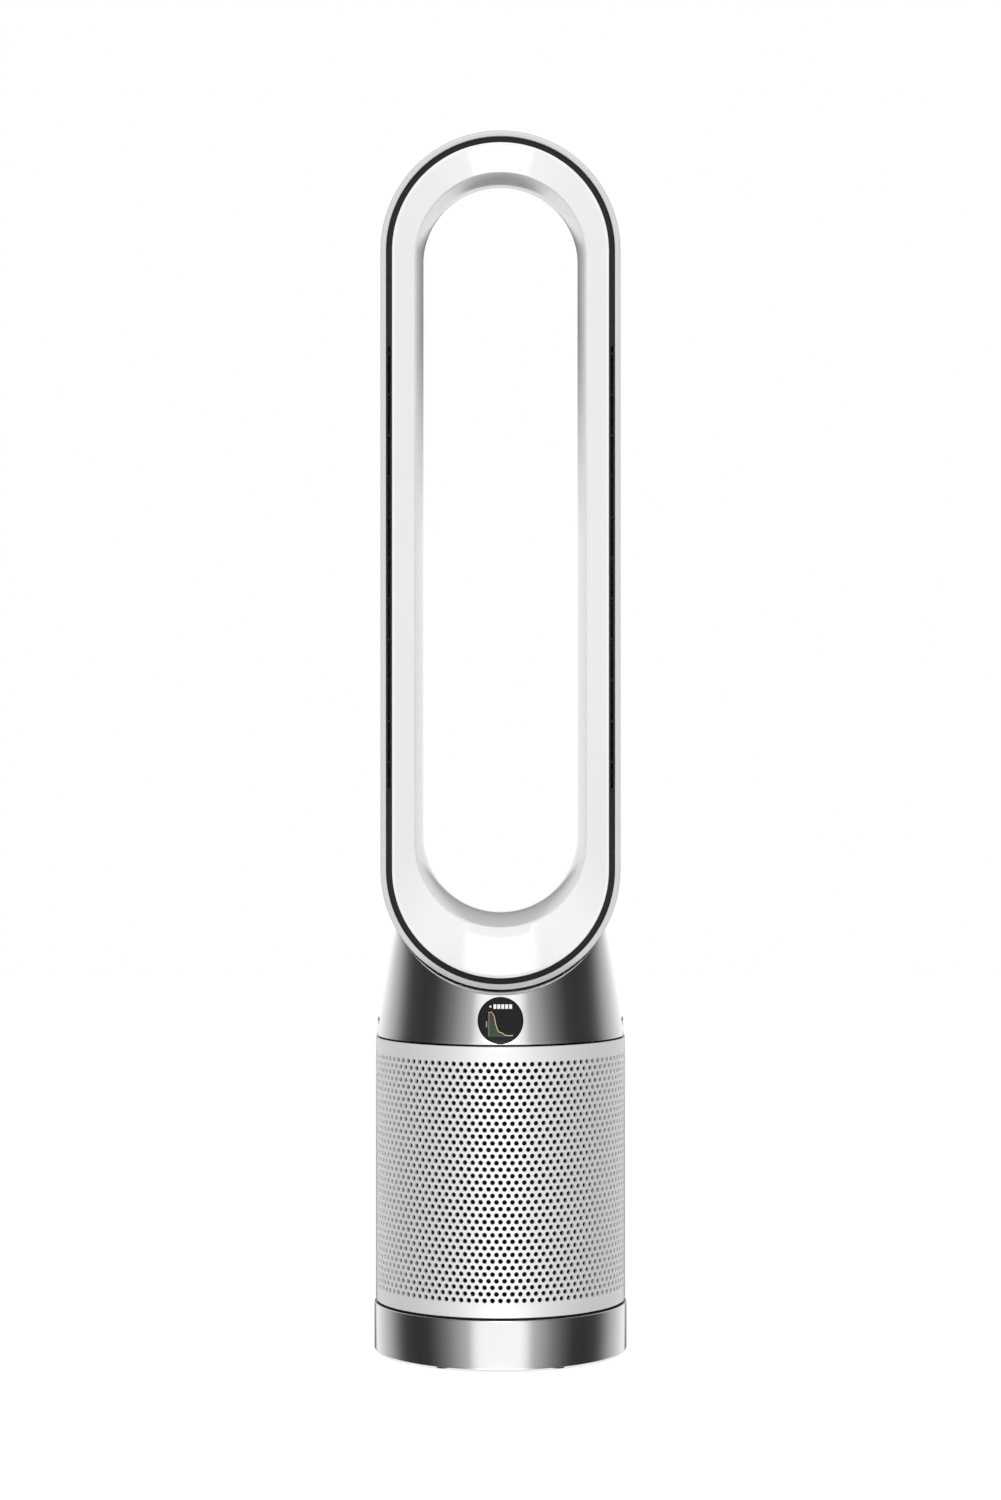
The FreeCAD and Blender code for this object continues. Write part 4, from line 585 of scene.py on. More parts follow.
def ease_drop(angle, height):
    """How far the outer face is eased in near the sheet's edges."""
    side = edge_angle - abs(angle)
    up = min(height - cover_low.z, cover_high.z - height)
    drop = 0.0
    for distance in (side * cover_radius, up):
        reach = max(0.0, 1.0 - distance / edge_ease)
        drop = max(drop, edge_ease * (1 - math.sqrt(1 - min(reach, 1.0) ** 2)))
    return drop


def add_patch(sheet, angles, heights):
    """Plain part of the sheet, on a grid of angles and heights."""
    for inner in (False, True):
        for a0, a1 in zip(angles, angles[1:]):
            for z0, z1 in zip(heights, heights[1:]):
                corners = [(a0, z0), (a1, z0), (a1, z1), (a0, z1)]
                face = tuple(sheet.point(a, z, ease_drop(a, z), inner) for a, z in corners)
                sheet.face(face, inner)


def add_hole(sheet, angle, height):
    """One cell of the sheet with a hole through it."""
    half = column_step / 2
    low = height - row_step / 2
    high = height + row_step / 2
    border = [(angle - half, low), (angle, low), (angle + half, low)]
    border += [(angle + half, high), (angle, high), (angle - half, high)]
    rims = []
    for inner in (False, True):
        outside = [sheet.point(a, z, 0.0, inner) for a, z in border]
        rim = []
        for k in range(hole_sides):
            turn = math.radians(210) + 2 * math.pi * k / hole_sides
            along = hole_radius * math.cos(turn) / cover_radius
            rim.append(sheet.point(angle + along, height + hole_radius * math.sin(turn), 0.0, inner))
        for k in range(6):
            left, right = outside[k], outside[(k + 1) % 6]
            a, b, c = rim[2 * k], rim[2 * k + 1], rim[(2 * k + 2) % hole_sides]
            for face in ((left, right, b), (left, b, a), (right, c, b)):
                sheet.face(face, inner)
        rims.append(rim)
    for k in range(hole_sides):
        j = (k + 1) % hole_sides
        sheet.faces.append((rims[0][k], rims[0][j], rims[1][j], rims[1][k]))


def ladder(start_value, stop_value, steps):
    """Evenly spaced numbers, both ends included."""
    return [start_value + (stop_value - start_value) * i / steps for i in range(steps + 1)]


def add_rim_wall(sheet, path):
    """Closes the sheet's edge between its two faces, along a path of (angle, height)."""
    for (a0, z0), (a1, z1) in zip(path, path[1:]):
        outer = [sheet.point(a, z, ease_drop(a, z), False) for a, z in ((a0, z0), (a1, z1))]
        inner = [sheet.point(a, z, 0.0, True) for a, z in ((a0, z0), (a1, z1))]
        sheet.faces.append((outer[1], outer[0], inner[0], inner[1]))


def add_rows(sheet, rows, reach):
    """The rows of holes. Every other row is one hole shorter, with a plain half cell at each end."""
    for row in range(row_count):
        height = first_row + row * row_step
        count = half_columns if row % 2 else half_columns - 0.5
        for k in range(int(2 * count)):
            add_hole(sheet, (k - count + 0.5) * column_step, height)
        if not row % 2:
            half = column_step / 2
            for a in (-reach, reach - half):
                add_patch(sheet, [a, a + half], [rows[row], rows[row + 1]])


def close_edges(sheet, angles, heights):
    """Walls along the sheet's four edges, each run in the same sense."""
    add_rim_wall(sheet, [(angles[0], z) for z in heights])
    add_rim_wall(sheet, [(a, heights[-1]) for a in angles])
    add_rim_wall(sheet, [(angles[-1], z) for z in reversed(heights)])
    add_rim_wall(sheet, [(a, heights[0]) for a in reversed(angles)])


def perforated_cover(middle):
    """Points and faces of one cover, about the direction that it faces."""
    sheet = Sheet(middle)
    reach = half_columns * column_step
    eased = [0.0, 0.15 * edge_ease, 0.5 * edge_ease, edge_ease]
    last_row = first_row + (row_count - 1) * row_step
    low = first_row - row_step / 2
    high = last_row + row_step / 2
    bottom = [cover_low.z + step for step in eased] + [low]
    top = [high] + [cover_high.z - step for step in reversed(eased)]
    middle_angles = ladder(-reach, reach, 4 * half_columns)
    left = [-edge_angle + step / cover_radius for step in eased] + [-reach]
    right = [reach] + [edge_angle - step / cover_radius for step in reversed(eased)]
    rows = ladder(low, high, row_count)
    add_patch(sheet, middle_angles, bottom)
    add_patch(sheet, middle_angles, top)
    for angles in (left, right):
        add_patch(sheet, angles, bottom)
        add_patch(sheet, angles, rows)
        add_patch(sheet, angles, top)
    add_rows(sheet, rows, reach)
    close_edges(sheet, left + middle_angles[1:-1] + right, bottom + rows[1:-1] + top)
    return sheet.points, sheet.faces


for side, middle in (("front", front), ("rear", -front)):
    solid = side + "_cover_screen"
    cover = new_piece(side + "_cover", *perforated_cover(middle), "silver_cover", side + "_cover", [solid])
    print(cover.name, "has", len(cover.data.vertices), "points")

# %% [markdown]
# ## The painted shade behind the holes
# Seen through the holes, the inside is nearly black. That is painted shade: a thin half-round sheet
# with a dark net pattern stands just outside each filter and moves with it.

# %% Put a painted-shade sheet over each filter
filter_low, filter_high = map(Vector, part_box("front_filter_frame"))
net_gap = 0.5 * mm
net_thickness = 0.5 * mm


def half_round_sheet(middle, radius, thickness, low, high, reach, steps=64):
    """A plain half-round sheet, closed all over."""
    angles = ladder(middle - reach, middle + reach, steps)
    rings = []
    for angle in angles:
        across = [(radius, low), (radius, high), (radius - thickness, high), (radius - thickness, low)]
        rings.append([(r * math.cos(angle), r * math.sin(angle), z) for r, z in across])
    points, faces = loft(rings, closed=False)
    last = len(points)
    faces += [(0, 1, 2, 3), (last - 1, last - 2, last - 3, last - 4)]
    return points, faces


net_radius = -filter_low.y + net_gap + net_thickness
net_reach = math.acos(-filter_high.y / net_radius)
# These dark sheets are painted shade behind the cover's holes.
for side, middle in (("front", front), ("rear", -front)):
    sheet = half_round_sheet(middle, net_radius, net_thickness, filter_low.z, filter_high.z, net_reach)
    new_piece(side + "_filter_net", *sheet, "filter_plastic", side + "_filter", finish=shade_net_finish)
print("net radius", round(net_radius, 4))

# %% [markdown]
# ## The collar
# The collar starts as a circle above the covers and narrows to an oval that hugs the loop. It
# narrows a little at the sides and more at the front. Its top is cut by the round seat of the
# loop, so the edge rises from the front to a point on each side. For each direction round the
# axis, the script finds the height where the wall meets the seat, and lofts rows up to there.

# %% Shape of the collar
collar_gap = 1.5 * mm
collar_bottom = cover_high.z + collar_gap
collar_radius = 107.8 * mm
side_lean, side_bend = 0.1475, 0.32
front_lean, front_bend = 0.30, 2.0
collar_wall = 2.6 * mm
seat_radius = loop_radius + 1.0 * mm
seat_wall = 2.5 * mm
port_half = Vector((42.0 * mm, 29.0 * mm))
lip_round = 1.3 * mm
collar_columns = 288
collar_rows = 22
collar_ease = 0.8 * mm
seat_probe = 0.985  # share of the way from the axis where the seat's slope is taken


def collar_half(height, inset=0.0):
    """Half width and half depth of the collar, at a height above its lower edge."""
    across = collar_radius - side_lean * height - side_bend * height**2 - inset
    deep = collar_radius - front_lean * height - front_bend * height**2 - inset
    return across, deep


def collar_point(angle, height, inset=0.0):
    across, deep = collar_half(height, inset)
    return Vector((across * math.cos(angle), deep * math.sin(angle), collar_bottom + height))


def seat_height(x, radius):
    """Height of the loop's round seat, at a distance from the middle."""
    return arc_height - math.sqrt(max(radius**2 - x**2, 0.0))


def lip_height(angle, inset, radius):
    """Height above the lower edge where the wall meets the seat, found by halving."""
    low, high = 0.0, 100.0 * mm
    for _ in range(40):
        height = (low + high) / 2
        point = collar_point(angle, height, inset)
        outside = point.x**2 + (arc_height - point.z) ** 2 > radius**2
        low, high = (height, high) if outside else (low, height)
    return low


peak = lip_height(0.0, 0.0, seat_radius)
dip = lip_height(front, 0.0, seat_radius)
print("collar lip, above its lower edge: front", round(dip, 4), "side", round(peak, 4))


# %% Loft the collar
def wall_outside(angle, last):
    """Outside of the wall, from its eased lower edge up to a last height."""
    ease = collar_ease
    line = [collar_point(angle, 0.0, ease), collar_point(angle, 0.25 * ease, 0.3 * ease)]
    line.append(collar_point(angle, ease))
    heights = [ease + (last - ease) * i / collar_rows for i in range(1, collar_rows + 1)]
    return line + [collar_point(angle, height) for height in heights]


def rounded_lip(start_point, corner, steps=5):
    """Curve over the lip, from the wall's outside to the seat."""
    toward = Vector((corner.x * seat_probe, corner.y * seat_probe, 0.0))
    toward.z = seat_height(toward.x, seat_radius)
    inward = corner + (toward - corner).normalized() * lip_round
    shares = [step / steps for step in range(1, steps + 1)]
    return [start_point * (1 - t) ** 2 + corner * (2 * t * (1 - t)) + inward * t**2 for t in shares], inward


def collar_meridian(angle):
    """Closed profile of the collar's wall in one direction: outside, lip, seat and inside."""
    outer_top = lip_height(angle, 0.0, seat_radius)
    inner_top = lip_height(angle, collar_wall, seat_radius + seat_wall)
    line = wall_outside(angle, outer_top - lip_round)
    lip, inward = rounded_lip(line[-1], collar_point(angle, outer_top))
    line += lip
    rim = Vector((port_half.x * math.cos(angle), port_half.y * math.sin(angle), 0.0))
    for step in range(1, 9):
        flat = inward.lerp(rim, step / 8)
        line.append(Vector((flat.x, flat.y, seat_height(flat.x, seat_radius))))
    under = collar_point(angle, inner_top, collar_wall)
    for step in range(5):
        flat = rim.lerp(under, step / 5)
        line.append(Vector((flat.x, flat.y, seat_height(flat.x, seat_radius + seat_wall))))
    line += [collar_point(angle, inner_top * (1 - i / 6), collar_wall) for i in range(7)]
    return line


# Each outline runs up the wall here, so the loft's own closing goes round the axis.
meridians = [collar_meridian(angle) for angle in full_turn(collar_columns)]
collar_mesh = loft(meridians)
collar = new_piece("collar_wall", *collar_mesh, "silver_metal", "upper", ["collar"], sharp=50.0)
print("collar has", len(collar.data.polygons), "faces")

# %% [markdown]
# ## Openings in the collar
# The display, the two release buttons, the standby button and the air sensor's vent all show
# through the collar. Their holes are cut with tools that are a little larger than the pieces.

# %% Cut the collar's openings
display_radius = (lens_high.x - lens_low.x) / 2
display_height = (lens_high.z + lens_low.z) / 2
fit_gap = 0.15 * mm
move_gap = 0.4 * mm
button_gap = 0.1 * mm


def round_outline(radius, place, across, up, sides=64):
    """Circle about a place, in the plane of two directions."""
    return [
        place + across * (radius * math.cos(a)) + up * (radius * math.sin(a))
        for a in full_turn(sides)
    ]


def pill_outline(length, height, place, across, up, sides=24):
    """Pill shape about a place: two half circles joined by straight sides."""
    points = []
    for side in (1, -1):
        for i in range(sides + 1):
            turn = math.pi * i / sides - math.pi / 2
            u = side * ((length - height) / 2 + height / 2 * math.cos(turn))
            v = side * height / 2 * math.sin(turn)
            points.append(place + across * u + up * v)
    return points


x_way, y_way, z_way = Vector((1, 0, 0)), Vector((0, 1, 0)), Vector((0, 0, 1))
reach = 30 * mm
display_middle = Vector((0, -collar_radius - reach / 2, display_height))
tools = [prism(round_outline(display_radius + fit_gap, display_middle, x_way, z_way), y_way * reach * 1.5)]

button_length, button_height, button_rise = 24.0 * mm, 9.0 * mm, 10.0 * mm
for side in (-1, 1):
    middle = Vector((side * (collar_radius + reach / 2), 0, collar_bottom + button_rise))
    hole_size = (button_length + 2 * button_gap, button_height + 2 * button_gap)
    outline = pill_outline(*hole_size, middle, y_way, z_way)
    tools.append(prism(outline, x_way * (-side * reach)))

standby_low, standby_high = map(Vector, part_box("standby_button"))
standby_radius = 6.0 * mm
standby_middle = (standby_low + standby_high) / 2
standby_middle.y = collar_radius + reach / 2
tools.append(prism(round_outline(standby_radius + move_gap, standby_middle, x_way, z_way), y_way * -reach))

vent_slots, vent_length, vent_height, vent_rise = 7, 32.0 * mm, 10.0 * mm, 18.0 * mm
vent_slot_width, vent_stand_off, vent_cut = 1.6 * mm, 5 * mm, 25 * mm
vent_turn = math.radians(118)
vent_out = Vector((math.cos(vent_turn), math.sin(vent_turn), 0))
vent_along = Vector((-math.sin(vent_turn), math.cos(vent_turn), 0))
for i in range(vent_slots):
    offset = (i - (vent_slots - 1) / 2) * vent_length / vent_slots
    middle = vent_out * (collar_radius + vent_stand_off) + vent_along * offset
    middle += z_way * (collar_bottom + vent_rise)
    outline = pill_outline(vent_height, vent_slot_width, middle, z_way, vent_along, 6)
    tools.append(prism(outline, vent_out * -vent_cut))
cut_all(collar, [cutter(*tool) for tool in tools], sharp=50.0)

# %% [markdown]
# ## The display
# A round smoked window lies flush with the collar and follows its curve. The screen behind it
# shows an air-quality line with a dim glow below, made here as thin glowing strips just over the
# window. The writing of a real screen is left out: a row of plain bars takes its place.


# %% Window and glowing marks
def collar_front(x, z, proud=0.0):
    """Point on the collar's front face, pushed out a little."""
    across, deep = collar_half(z - collar_bottom)
    return Vector((x, -deep * math.sqrt(1 - (x / across) ** 2) - proud, z))


window_thickness = 1.8 * mm
window_ease = 0.35 * mm


def window_mesh(radius, thickness, rings=14, sides=96):
    """Round window that follows the collar, with an eased edge."""
    ease = window_ease
    outlines = []
    steps = [0.05 * mm] + [(radius - ease) * i / rings for i in range(1, rings + 1)]
    path = [(r, 0.0) for r in steps] + [(radius - 0.3 * ease, -0.3 * ease), (radius, -ease)]
    path += [(radius, -thickness), (radius * 0.5, -thickness), (radius * 0.02, -thickness)]
    for r, proud in path:
        outlines.append([
            collar_front(r * math.cos(a), display_height + r * math.sin(a), proud)
            for a in full_turn(sides)
        ])
    points, faces = loft(outlines, closed=False)
    last = len(points) - sides
    faces = [face[::-1] for face in faces]
    faces += [tuple(range(sides)), tuple(range(last, last + sides))[::-1]]
    return points, faces


window = window_mesh(display_radius, window_thickness)
new_piece("display_window", *window, "lens", "upper", ["display_lens"])


def light_mark(name, mesh, finish):
    """A glowing mark on the display."""
    new_piece(name, *mesh, "lens", "upper", finish=finish)


def strip(path, width, proud):
    """Thin flat strip along (x, z) points, lying just over the window."""
    points = []
    path = [Vector(point) for point in path]
    for i, here in enumerate(path):
        before = path[max(i - 1, 0)]
        after = path[min(i + 1, len(path) - 1)]
        way = (after - before).normalized()
        side = Vector((-way.y, way.x)) * width / 2
        for spot in (here + side, here - side):
            points.append(collar_front(spot.x, display_height + spot.y, proud))
    faces = [(2 * i, 2 * i + 1, 2 * i + 3, 2 * i + 2) for i in range(len(path) - 1)]
    return points, faces


def glow(name, low_colour, middle_colour, high_colour, strength, span):
    """Light that changes colour with height over a span of the display."""
    material, graph = start(name)
    height = graph.node("SeparateXYZ", None, {"Vector": graph.place()}, output=2)
    share = (height - (display_height + span[0])) / (span[1] - span[0])
    stops = [(0.0, low_colour), (0.35, low_colour), (0.65, middle_colour), (1.0, high_colour)]
    colour = graph.node("ValToRGB", {"stops": stops}, {"Fac": share})
    inputs = {"Base Color": (0.02, 0.02, 0.02, 1.0), "Emission Color": colour}
    inputs |= {"Emission Strength": strength, "Roughness": 0.4}
    finish_with(graph, inputs)
    return material


curve_points = [(-10.2, 6.5), (-7.3, 6.9), (-6.2, 5.2), (-5.1, 3.0), (-4.2, -2.3), (-2.7, -7.0), (-1.5, -9.2)]
curve_points += [(0.0, -9.6), (1.2, -9.9), (3.5, -11.6), (5.8, -12.2), (8.2, -12.2), (10.4, -12.0)]
curve_path = [(x * mm, z * mm) for x, z in curve_points]
chart_floor = -13.2 * mm
span = (-12.2 * mm, 6.9 * mm)
pale_green, pale_red = (0.50, 0.62, 0.26, 1.0), (0.62, 0.30, 0.28, 1.0)
dim_green, dim_red = (0.003, 0.024, 0.002, 1.0), (0.050, 0.006, 0.006, 1.0)
curve_glow = glow("curve_glow", pale_green, (0.62, 0.58, 0.30, 1.0), pale_red, 1.0, span)
light_mark("display_curve", strip(curve_path, 0.6 * mm, 0.07 * mm), curve_glow)


def curtain(path, floor_level, proud, rows=10):
    """Area between a falling line and a level below it."""
    points = []
    for x, z in path:
        for level in ladder(z, floor_level, rows):
            points.append(collar_front(x, display_height + level, proud))
    faces = []
    for column in range(len(path) - 1):
        for row in range(rows):
            here = column * (rows + 1) + row
            faces.append((here, here + 1, here + rows + 2, here + rows + 1))
    return points, faces


shade_glow = glow("shade_glow", dim_green, (0.012, 0.016, 0.003, 1.0), dim_red, 1.0, span)
light_mark("display_shade", curtain(curve_path, chart_floor, 0.04 * mm), shade_glow)
pale, white = (0.30, 0.30, 0.30, 1.0), (0.90, 0.90, 0.90, 1.0)
axis_glow = glow("axis_glow", pale, pale, pale, 1.0, span)
bar_glow = glow("bar_glow", white, white, white, 1.0, span)
mark_proud = 0.06 * mm
axis_path = [(-9.8 * mm, level * mm) for level in (-12.8, -6.4, 0.0, 6.4)]
light_mark("display_axis", strip(axis_path, 0.35 * mm, mark_proud), axis_glow)
tag_path = [(-11.7 * mm, level * mm) for level in (-5.6, -0.6)]
light_mark("display_tag", strip(tag_path, 1.0 * mm, mark_proud), axis_glow)
bar_points, bar_faces = [], []
bar_level = 11.4
bar_places = [(-9.2, 1.5, 1.5)] + [(left, 3.6, 2.4) for left in (-5.9, -2.6, 0.7, 4.0, 7.3)]
for left, tall, wide in bar_places:
    ends = [((left + wide / 2) * mm, (bar_level + half * tall) * mm) for half in (-0.5, 0.5)]
    points, faces = strip(ends, wide * mm, mark_proud)
    bar_faces += [tuple(len(bar_points) + k for k in face) for face in faces]
    bar_points += points
light_mark("display_bars", (bar_points, bar_faces), bar_glow)
print("window radius", round(display_radius, 4), "with", len(bar_places), "bars")

# %% [markdown]
# ## The loop
# The loop is a tall stadium shape: two straight sides joined by two half circles. Both of its
# walls are lofts of stadium outlines at different depths. The outer wall is the same distance
# in all round, but the inner wall is wider at the bottom than at the top, so each outline of
# it has three insets: at the sides, at the lower end and at the upper end.

# %% Stadium outlines
arc_steps, run_steps = 56, 40
loop_front = loop_low.y
loop_back = loop_high.y


def stadium(insets, depth):
    """Outline of the loop at a depth, inset at its sides, lower end and upper end."""
    side, lower, upper = insets
    half = loop_radius - side
    low = loop_bottom + lower + half
    high = loop_top - upper - half
    ring = []
    for first_turn, x, begin, end in ((math.pi, half, low, high), (0.0, -half, high, low)):
        for i in range(arc_steps):
            turn = first_turn + math.pi * i / arc_steps
            ring.append((half * math.cos(turn), depth, begin + half * math.sin(turn)))
        ring += [(x, depth, begin + (end - begin) * i / run_steps) for i in range(run_steps)]
    return ring


def even(inset):
    """The same inset all round."""
    return (inset, inset, inset)


def blend_insets(first, second, t):
    return tuple(a + (b - a) * t for a, b in zip(first, second))


rim_width, rim_depth, slot_width = 4.7 * mm, 4.0 * mm, 5.1 * mm
loop_wall = 2.6 * mm
front_insets = tuple(inset * mm for inset in (29.2, 52.5, 34.5))
throat_insets = tuple(inset * mm for inset in (35.0, 63.0, 33.4))
back_insets = tuple(inset * mm for inset in (34.0, 61.7, 31.4))
throat_depth = 15.0 * mm
back_round = 12.0 * mm
print("opening:", round(2 * (loop_radius - throat_insets[0]), 4), "wide")

# %% [markdown]
# The outer wall is one moulded shell, with a narrow rim by the slot and a soft rounded back. A
# bevelled box can't follow a stadium, so the wall is a loft of outlines: along the rim, back
# along the outside, round to the opening at the back, and forward again on its inner face.

# %% Outer wall of the loop
rim_ease = 0.9 * mm
ease_path = [(0.0, 1.0), (0.08, 0.6), (0.29, 0.29), (0.6, 0.08), (1.0, 0.0)]
inner_back = loop_back - loop_wall
slot_ease = 0.5 * rim_ease
outer_path = [
    (even(rim_width - slot_ease + slot_ease * (1 - u)), loop_front + slot_ease * v)
    for u, v in ease_path
]
outer_path += [(even(rim_ease * v), loop_front + rim_ease * u) for u, v in ease_path]
back_steps = 9
for i in range(back_steps):
    turn = math.pi / 2 * i / back_steps
    inset = back_round * (1 - math.cos(turn))
    outer_path.append((even(inset), loop_back - back_round * (1 - math.sin(turn))))
outer_path.append((even(back_round), loop_back))
back_ease = 0.7 * mm
edge_insets = tuple(inset - back_ease for inset in back_insets)
outer_path += [(blend_insets(even(back_round), edge_insets, t), loop_back) for t in (0.5, 1.0)]
outer_path.append((tuple(inset - 0.2 * back_ease for inset in back_insets), loop_back - 0.2 * back_ease))
outer_path.append((back_insets, loop_back - back_ease))
outer_path += [(back_insets, inner_back), (even(back_round), inner_back)]
outer_path += [(even(loop_wall), depth) for depth in (loop_back - back_round, loop_front + rim_depth)]
outer_path.append((even(rim_width), loop_front + rim_depth))
outer_rings = [stadium(insets, depth) for insets, depth in outer_path]
shell_mesh = loft(outer_rings)
loop_shell = new_piece("loop_shell", *shell_mesh, "white_gloss", "upper", ["loop_outer_shell"], sharp=40.0)
print("outer wall:", len(loop_shell.data.polygons), "faces")

# %% [markdown]
# The inner wall starts at a narrow lip by the slot. A bright bevel leads in to the front edge of
# the opening. At the sides and the lower end the wall then narrows in a smooth curve to a throat
# and opens a little towards the back, and at the upper end it only opens. That curve makes the
# moving air pull more air through the loop. The same loft gives it, with other insets.

# %% Inner wall of the loop
lip_inset = rim_width + slot_width
lip_front = lining_low.y
lip_flat = 2.0 * mm
edge_depth = loop_front + 9.5 * mm
lining_wall = 2.6 * mm


def lining_curve(t):
    """Insets and depth on the way from the front edge to the back, t from 0 to 1."""
    depth = edge_depth + (inner_back - edge_depth) * t
    if depth <= throat_depth:
        share = (depth - edge_depth) / (throat_depth - edge_depth)
        return blend_insets(front_insets, throat_insets, math.sin(share * math.pi / 2) ** 0.9), depth
    share = (depth - throat_depth) / (inner_back - throat_depth)
    return blend_insets(throat_insets, back_insets, share**2), depth


inner_path = [(even(lip_inset), lip_front + 7 * mm), (even(lip_inset), lip_front + 0.8 * mm)]
inner_path += [(even(lip_inset + 0.25 * mm), lip_front + 0.25 * mm), (even(lip_inset + 0.8 * mm), lip_front)]
inner_path.append((even(lip_inset + lip_flat), lip_front))
for t in (0.03, 0.35, 0.7, 0.97):
    insets = blend_insets(even(lip_inset + lip_flat), front_insets, t)
    inner_path.append((insets, lip_front + (edge_depth - lip_front) * t))
inner_path += [lining_curve(t) for t in (0.012, 0.03)]
inner_path += [lining_curve(0.03 + 0.97 * i / 16) for i in range(1, 17)]
inner_path += [(tuple(inset - lining_wall for inset in insets), depth)
               for insets, depth in (lining_curve(t) for t in (1.0, 0.75, 0.5, 0.25, 0.04))]
inner_rings = [stadium(insets, depth) for insets, depth in inner_path]
lining_mesh = loft(inner_rings)
lining = new_piece("loop_lining", *lining_mesh, "silver_bevel", "upper", ["loop_inner_shell"], sharp=28.0)
print("inner wall:", len(lining.data.polygons), "faces")

# %% [markdown]
# ## The studio
# A bright metal ring looks like whatever surrounds it, so the room matters as much as the
# metal. A studio for such a fan has a white panel behind the camera and dark panels at
# the sides, which give the metal its dark bands. Here the world plays the panels, but only for
# reflections: soft even light falls on everything else, and the camera sees plain white.

# %% Camera
camera_distance = 2.830
eye_height = 0.526
camera_data = bpy.data.cameras.new("camera")
camera_data.sensor_width = 36.0
camera_data.lens = 78.096
camera_data.shift_y = -0.004
camera = bpy.data.objects.new("camera", camera_data)
camera.location = (0.0, -camera_distance, eye_height)
camera.rotation_euler = (math.radians(90), 0, 0)
bpy.context.scene.collection.objects.link(camera)
bpy.context.scene.camera = camera
print("camera stands", camera_distance, "m in front, at a height of", eye_height, "m")

# %% The reflected panels
world = bpy.data.worlds.new("studio")
world.use_nodes = True
bpy.context.scene.world = world
room = Graph(world.node_tree)
way = room.node("TexCoord", output=0)
flat_way = room.node("VectorMath", {"operation": "MULTIPLY"}, {0: way, 1: (1.0, 1.0, 0.0)})
flat_unit = room.node("VectorMath", {"operation": "NORMALIZE"}, {0: flat_way})
behind_camera = room.node("VectorMath", {"operation": "DOT_PRODUCT"}, {0: flat_unit, 1: (0.0, -1.0, 0.0)}, 1)
panels = [(180, 1.0), (160, 1.0), (140, 0.74), (128, 0.54), (118, 0.38), (109, 0.21), (102, 0.10)]
panels += [(94, 0.045), (80, 0.03), (68, 0.035), (58, 0.09), (48, 0.18), (38, 0.33), (29, 0.46)]
panels += [(23, 0.85), (18, 1.0), (0, 1.0)]
stops = [((1 + math.cos(math.radians(turn))) / 2, brightness) for turn, brightness in panels]
reflected = room.grey_ramp((behind_camera + 1) / 2, stops)
print("panels seen in the metal:", len(panels))

# %% [markdown]
# A tall box above the camera and one below it give gloss plastic its bright wedges. The wall
# straight behind the fan is lit only near eye level, so the loop's throat looks darker than its
# bevel. The metal ring shows hardly any of that wall, because it lies at the ring's very edges.

# %% Boxes above and below, and the wall behind
split = {output: room.node("SeparateXYZ", None, {"Vector": way}, output=output) for output in range(3)}
across, forward, upward = split[0], split[1], split[2]
wall_dimming, box_strength = 0.85, 2.5
box_levels = [(0.28, 1.0), (0.32, 0.0), (0.61, 0.0), (0.63, 1.0), (0.72, 1.0), (0.76, 0.0)]
steep = room.grey_ramp((upward + 1) / 2, box_levels)
wedge_slope, wedge_edge = 0.18, 8
wedge = (upward * upward * wedge_slope - across * across) * wedge_edge + 0.5
in_wedge = room.grey_ramp(wedge, [(0.47, 0.0), (0.53, 1.0)])
facing = room.grey_ramp(0.5 - forward * 0.5, [(0.55, 0.0), (0.65, 1.0)])
boxes = steep * in_wedge * facing
wall = room.grey_ramp(0.5 - behind_camera * 0.5, [(0.95, 0.0), (0.98, 1.0)])
off_level = room.grey_ramp(upward * upward, [(0.004, 0.0), (0.014, 1.0)])
reflected = reflected * (1 - wall * off_level * wall_dimming) + boxes * box_strength
print("boxes of strength", box_strength, "and a wall dimmed by", wall_dimming)

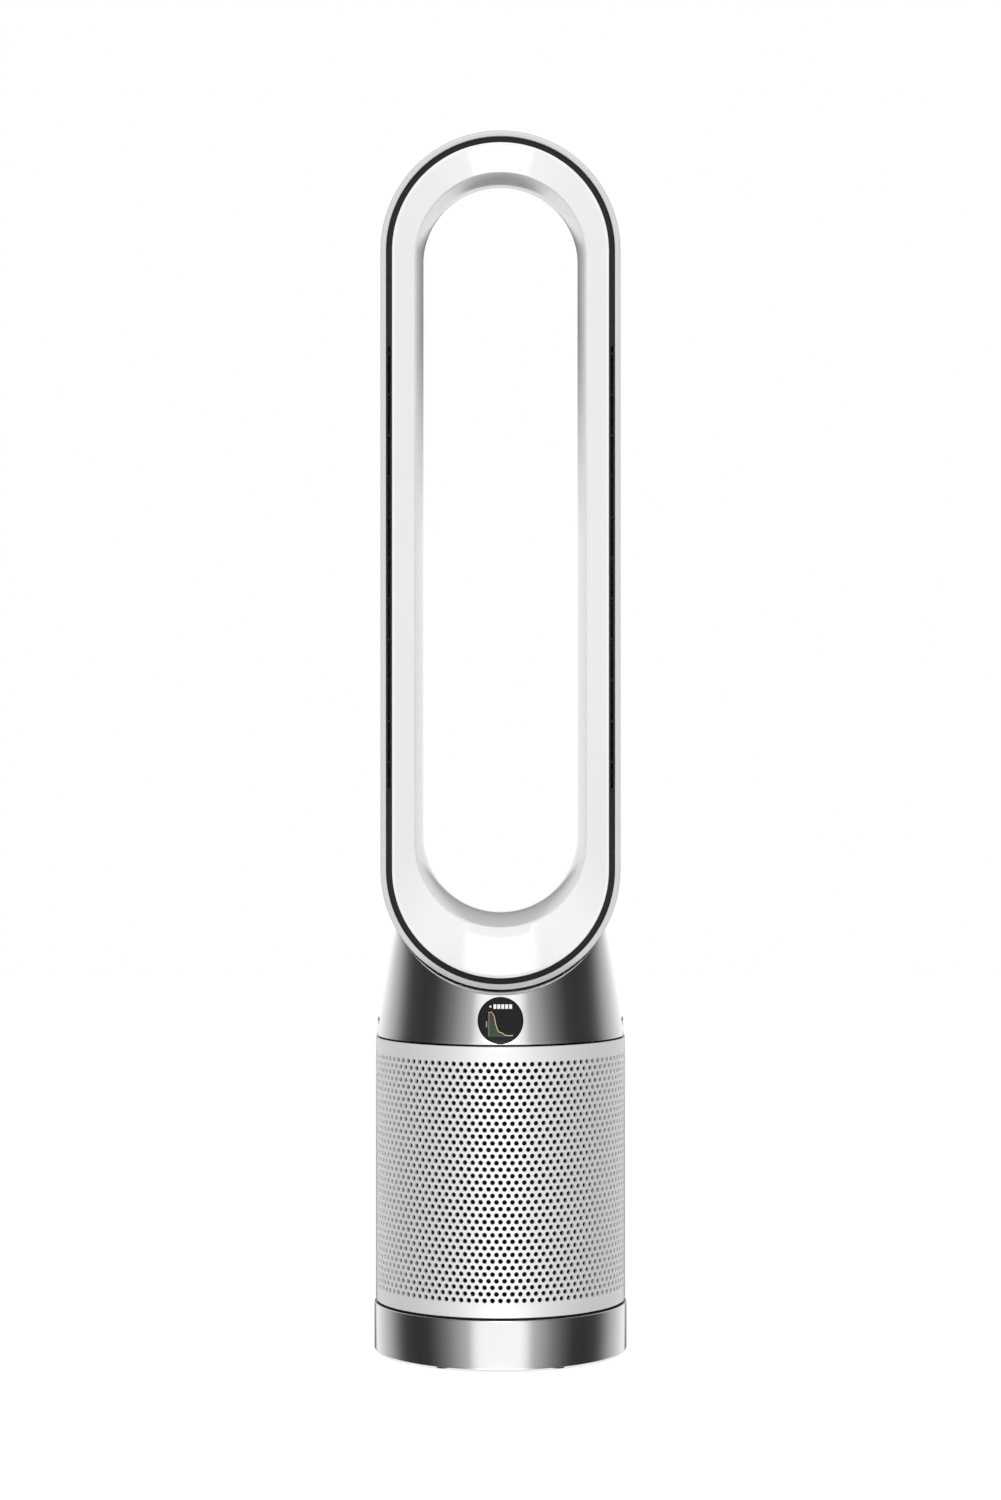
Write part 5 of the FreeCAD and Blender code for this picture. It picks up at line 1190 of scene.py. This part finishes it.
# %% [markdown]
# Paint and matt plastic need soft light, mostly from the front. A world colour that is brightest
# in front gives it, and two large area lights add to it. The area lights and the pale floor
# are hidden from reflections, so the metal shows only the panels.

# %% World, lights and floor
toward = 0.5 - forward * 0.5
soft_levels = [(0.0, 0.28), (0.5, 0.42), (1.0, 1.0)]
soft_strength, level_share = 1.42, 0.7
soft = room.grey_ramp(toward, soft_levels) * soft_strength
soft = soft * (1 - upward * upward * level_share)
is_mirror = room.node("LightPath", output=3)
is_camera = room.node("LightPath", output=0)
seen = room.mix(is_mirror, soft, reflected)
seen = room.mix(is_camera, seen, (1.0, 1.0, 1.0, 1.0))
light = room.node("Background", None, {"Color": seen, "Strength": 1.0})
room.node("OutputWorld", None, {"Surface": light})


def soft_box(name, place, target, size, power):
    """Large soft light that doesn't show in the metal."""
    data = bpy.data.lights.new(name, "AREA")
    data.size = size
    data.energy = power
    lamp = bpy.data.objects.new(name, data)
    lamp.location = place
    lamp.rotation_euler = (Vector(target) - Vector(place)).to_track_quat("-Z", "Y").to_euler()
    lamp.visible_glossy = False
    bpy.context.scene.collection.objects.link(lamp)
    return lamp


middle = (0, 0, (cad_box[0][2] + cad_box[1][2]) / 2)
soft_box("top_light", (0.3, -0.6, 2.6), middle, 1.6, 3)
soft_box("front_light", (-0.7, -2.6, 1.3), middle, 1.2, 7)

floor_size = 9.0
half = floor_size / 2
corners = [(-half, -half, 0), (half, -half, 0), (half, half, 0), (-half, half, 0)]
floor_mesh = bpy.data.meshes.new("floor")
floor_mesh.from_pydata(corners, [], [(0, 1, 2, 3)])
floor = bpy.data.objects.new("floor", floor_mesh)
floor.location.z = cad_box[0][2]
floor.visible_glossy = False
floor.visible_diffuse = False
bpy.context.scene.collection.objects.link(floor)
floor_mesh.materials.append(plastic("pale_floor", (0.55, 0.55, 0.55), 0.8, 30.0, 0.0, 0.005,
                                    more={"Emission Color": (1, 1, 1, 1), "Emission Strength": 0.80}))
bpy.context.scene.view_settings.view_transform = "Standard"
print("camera, lights and floor are in place")
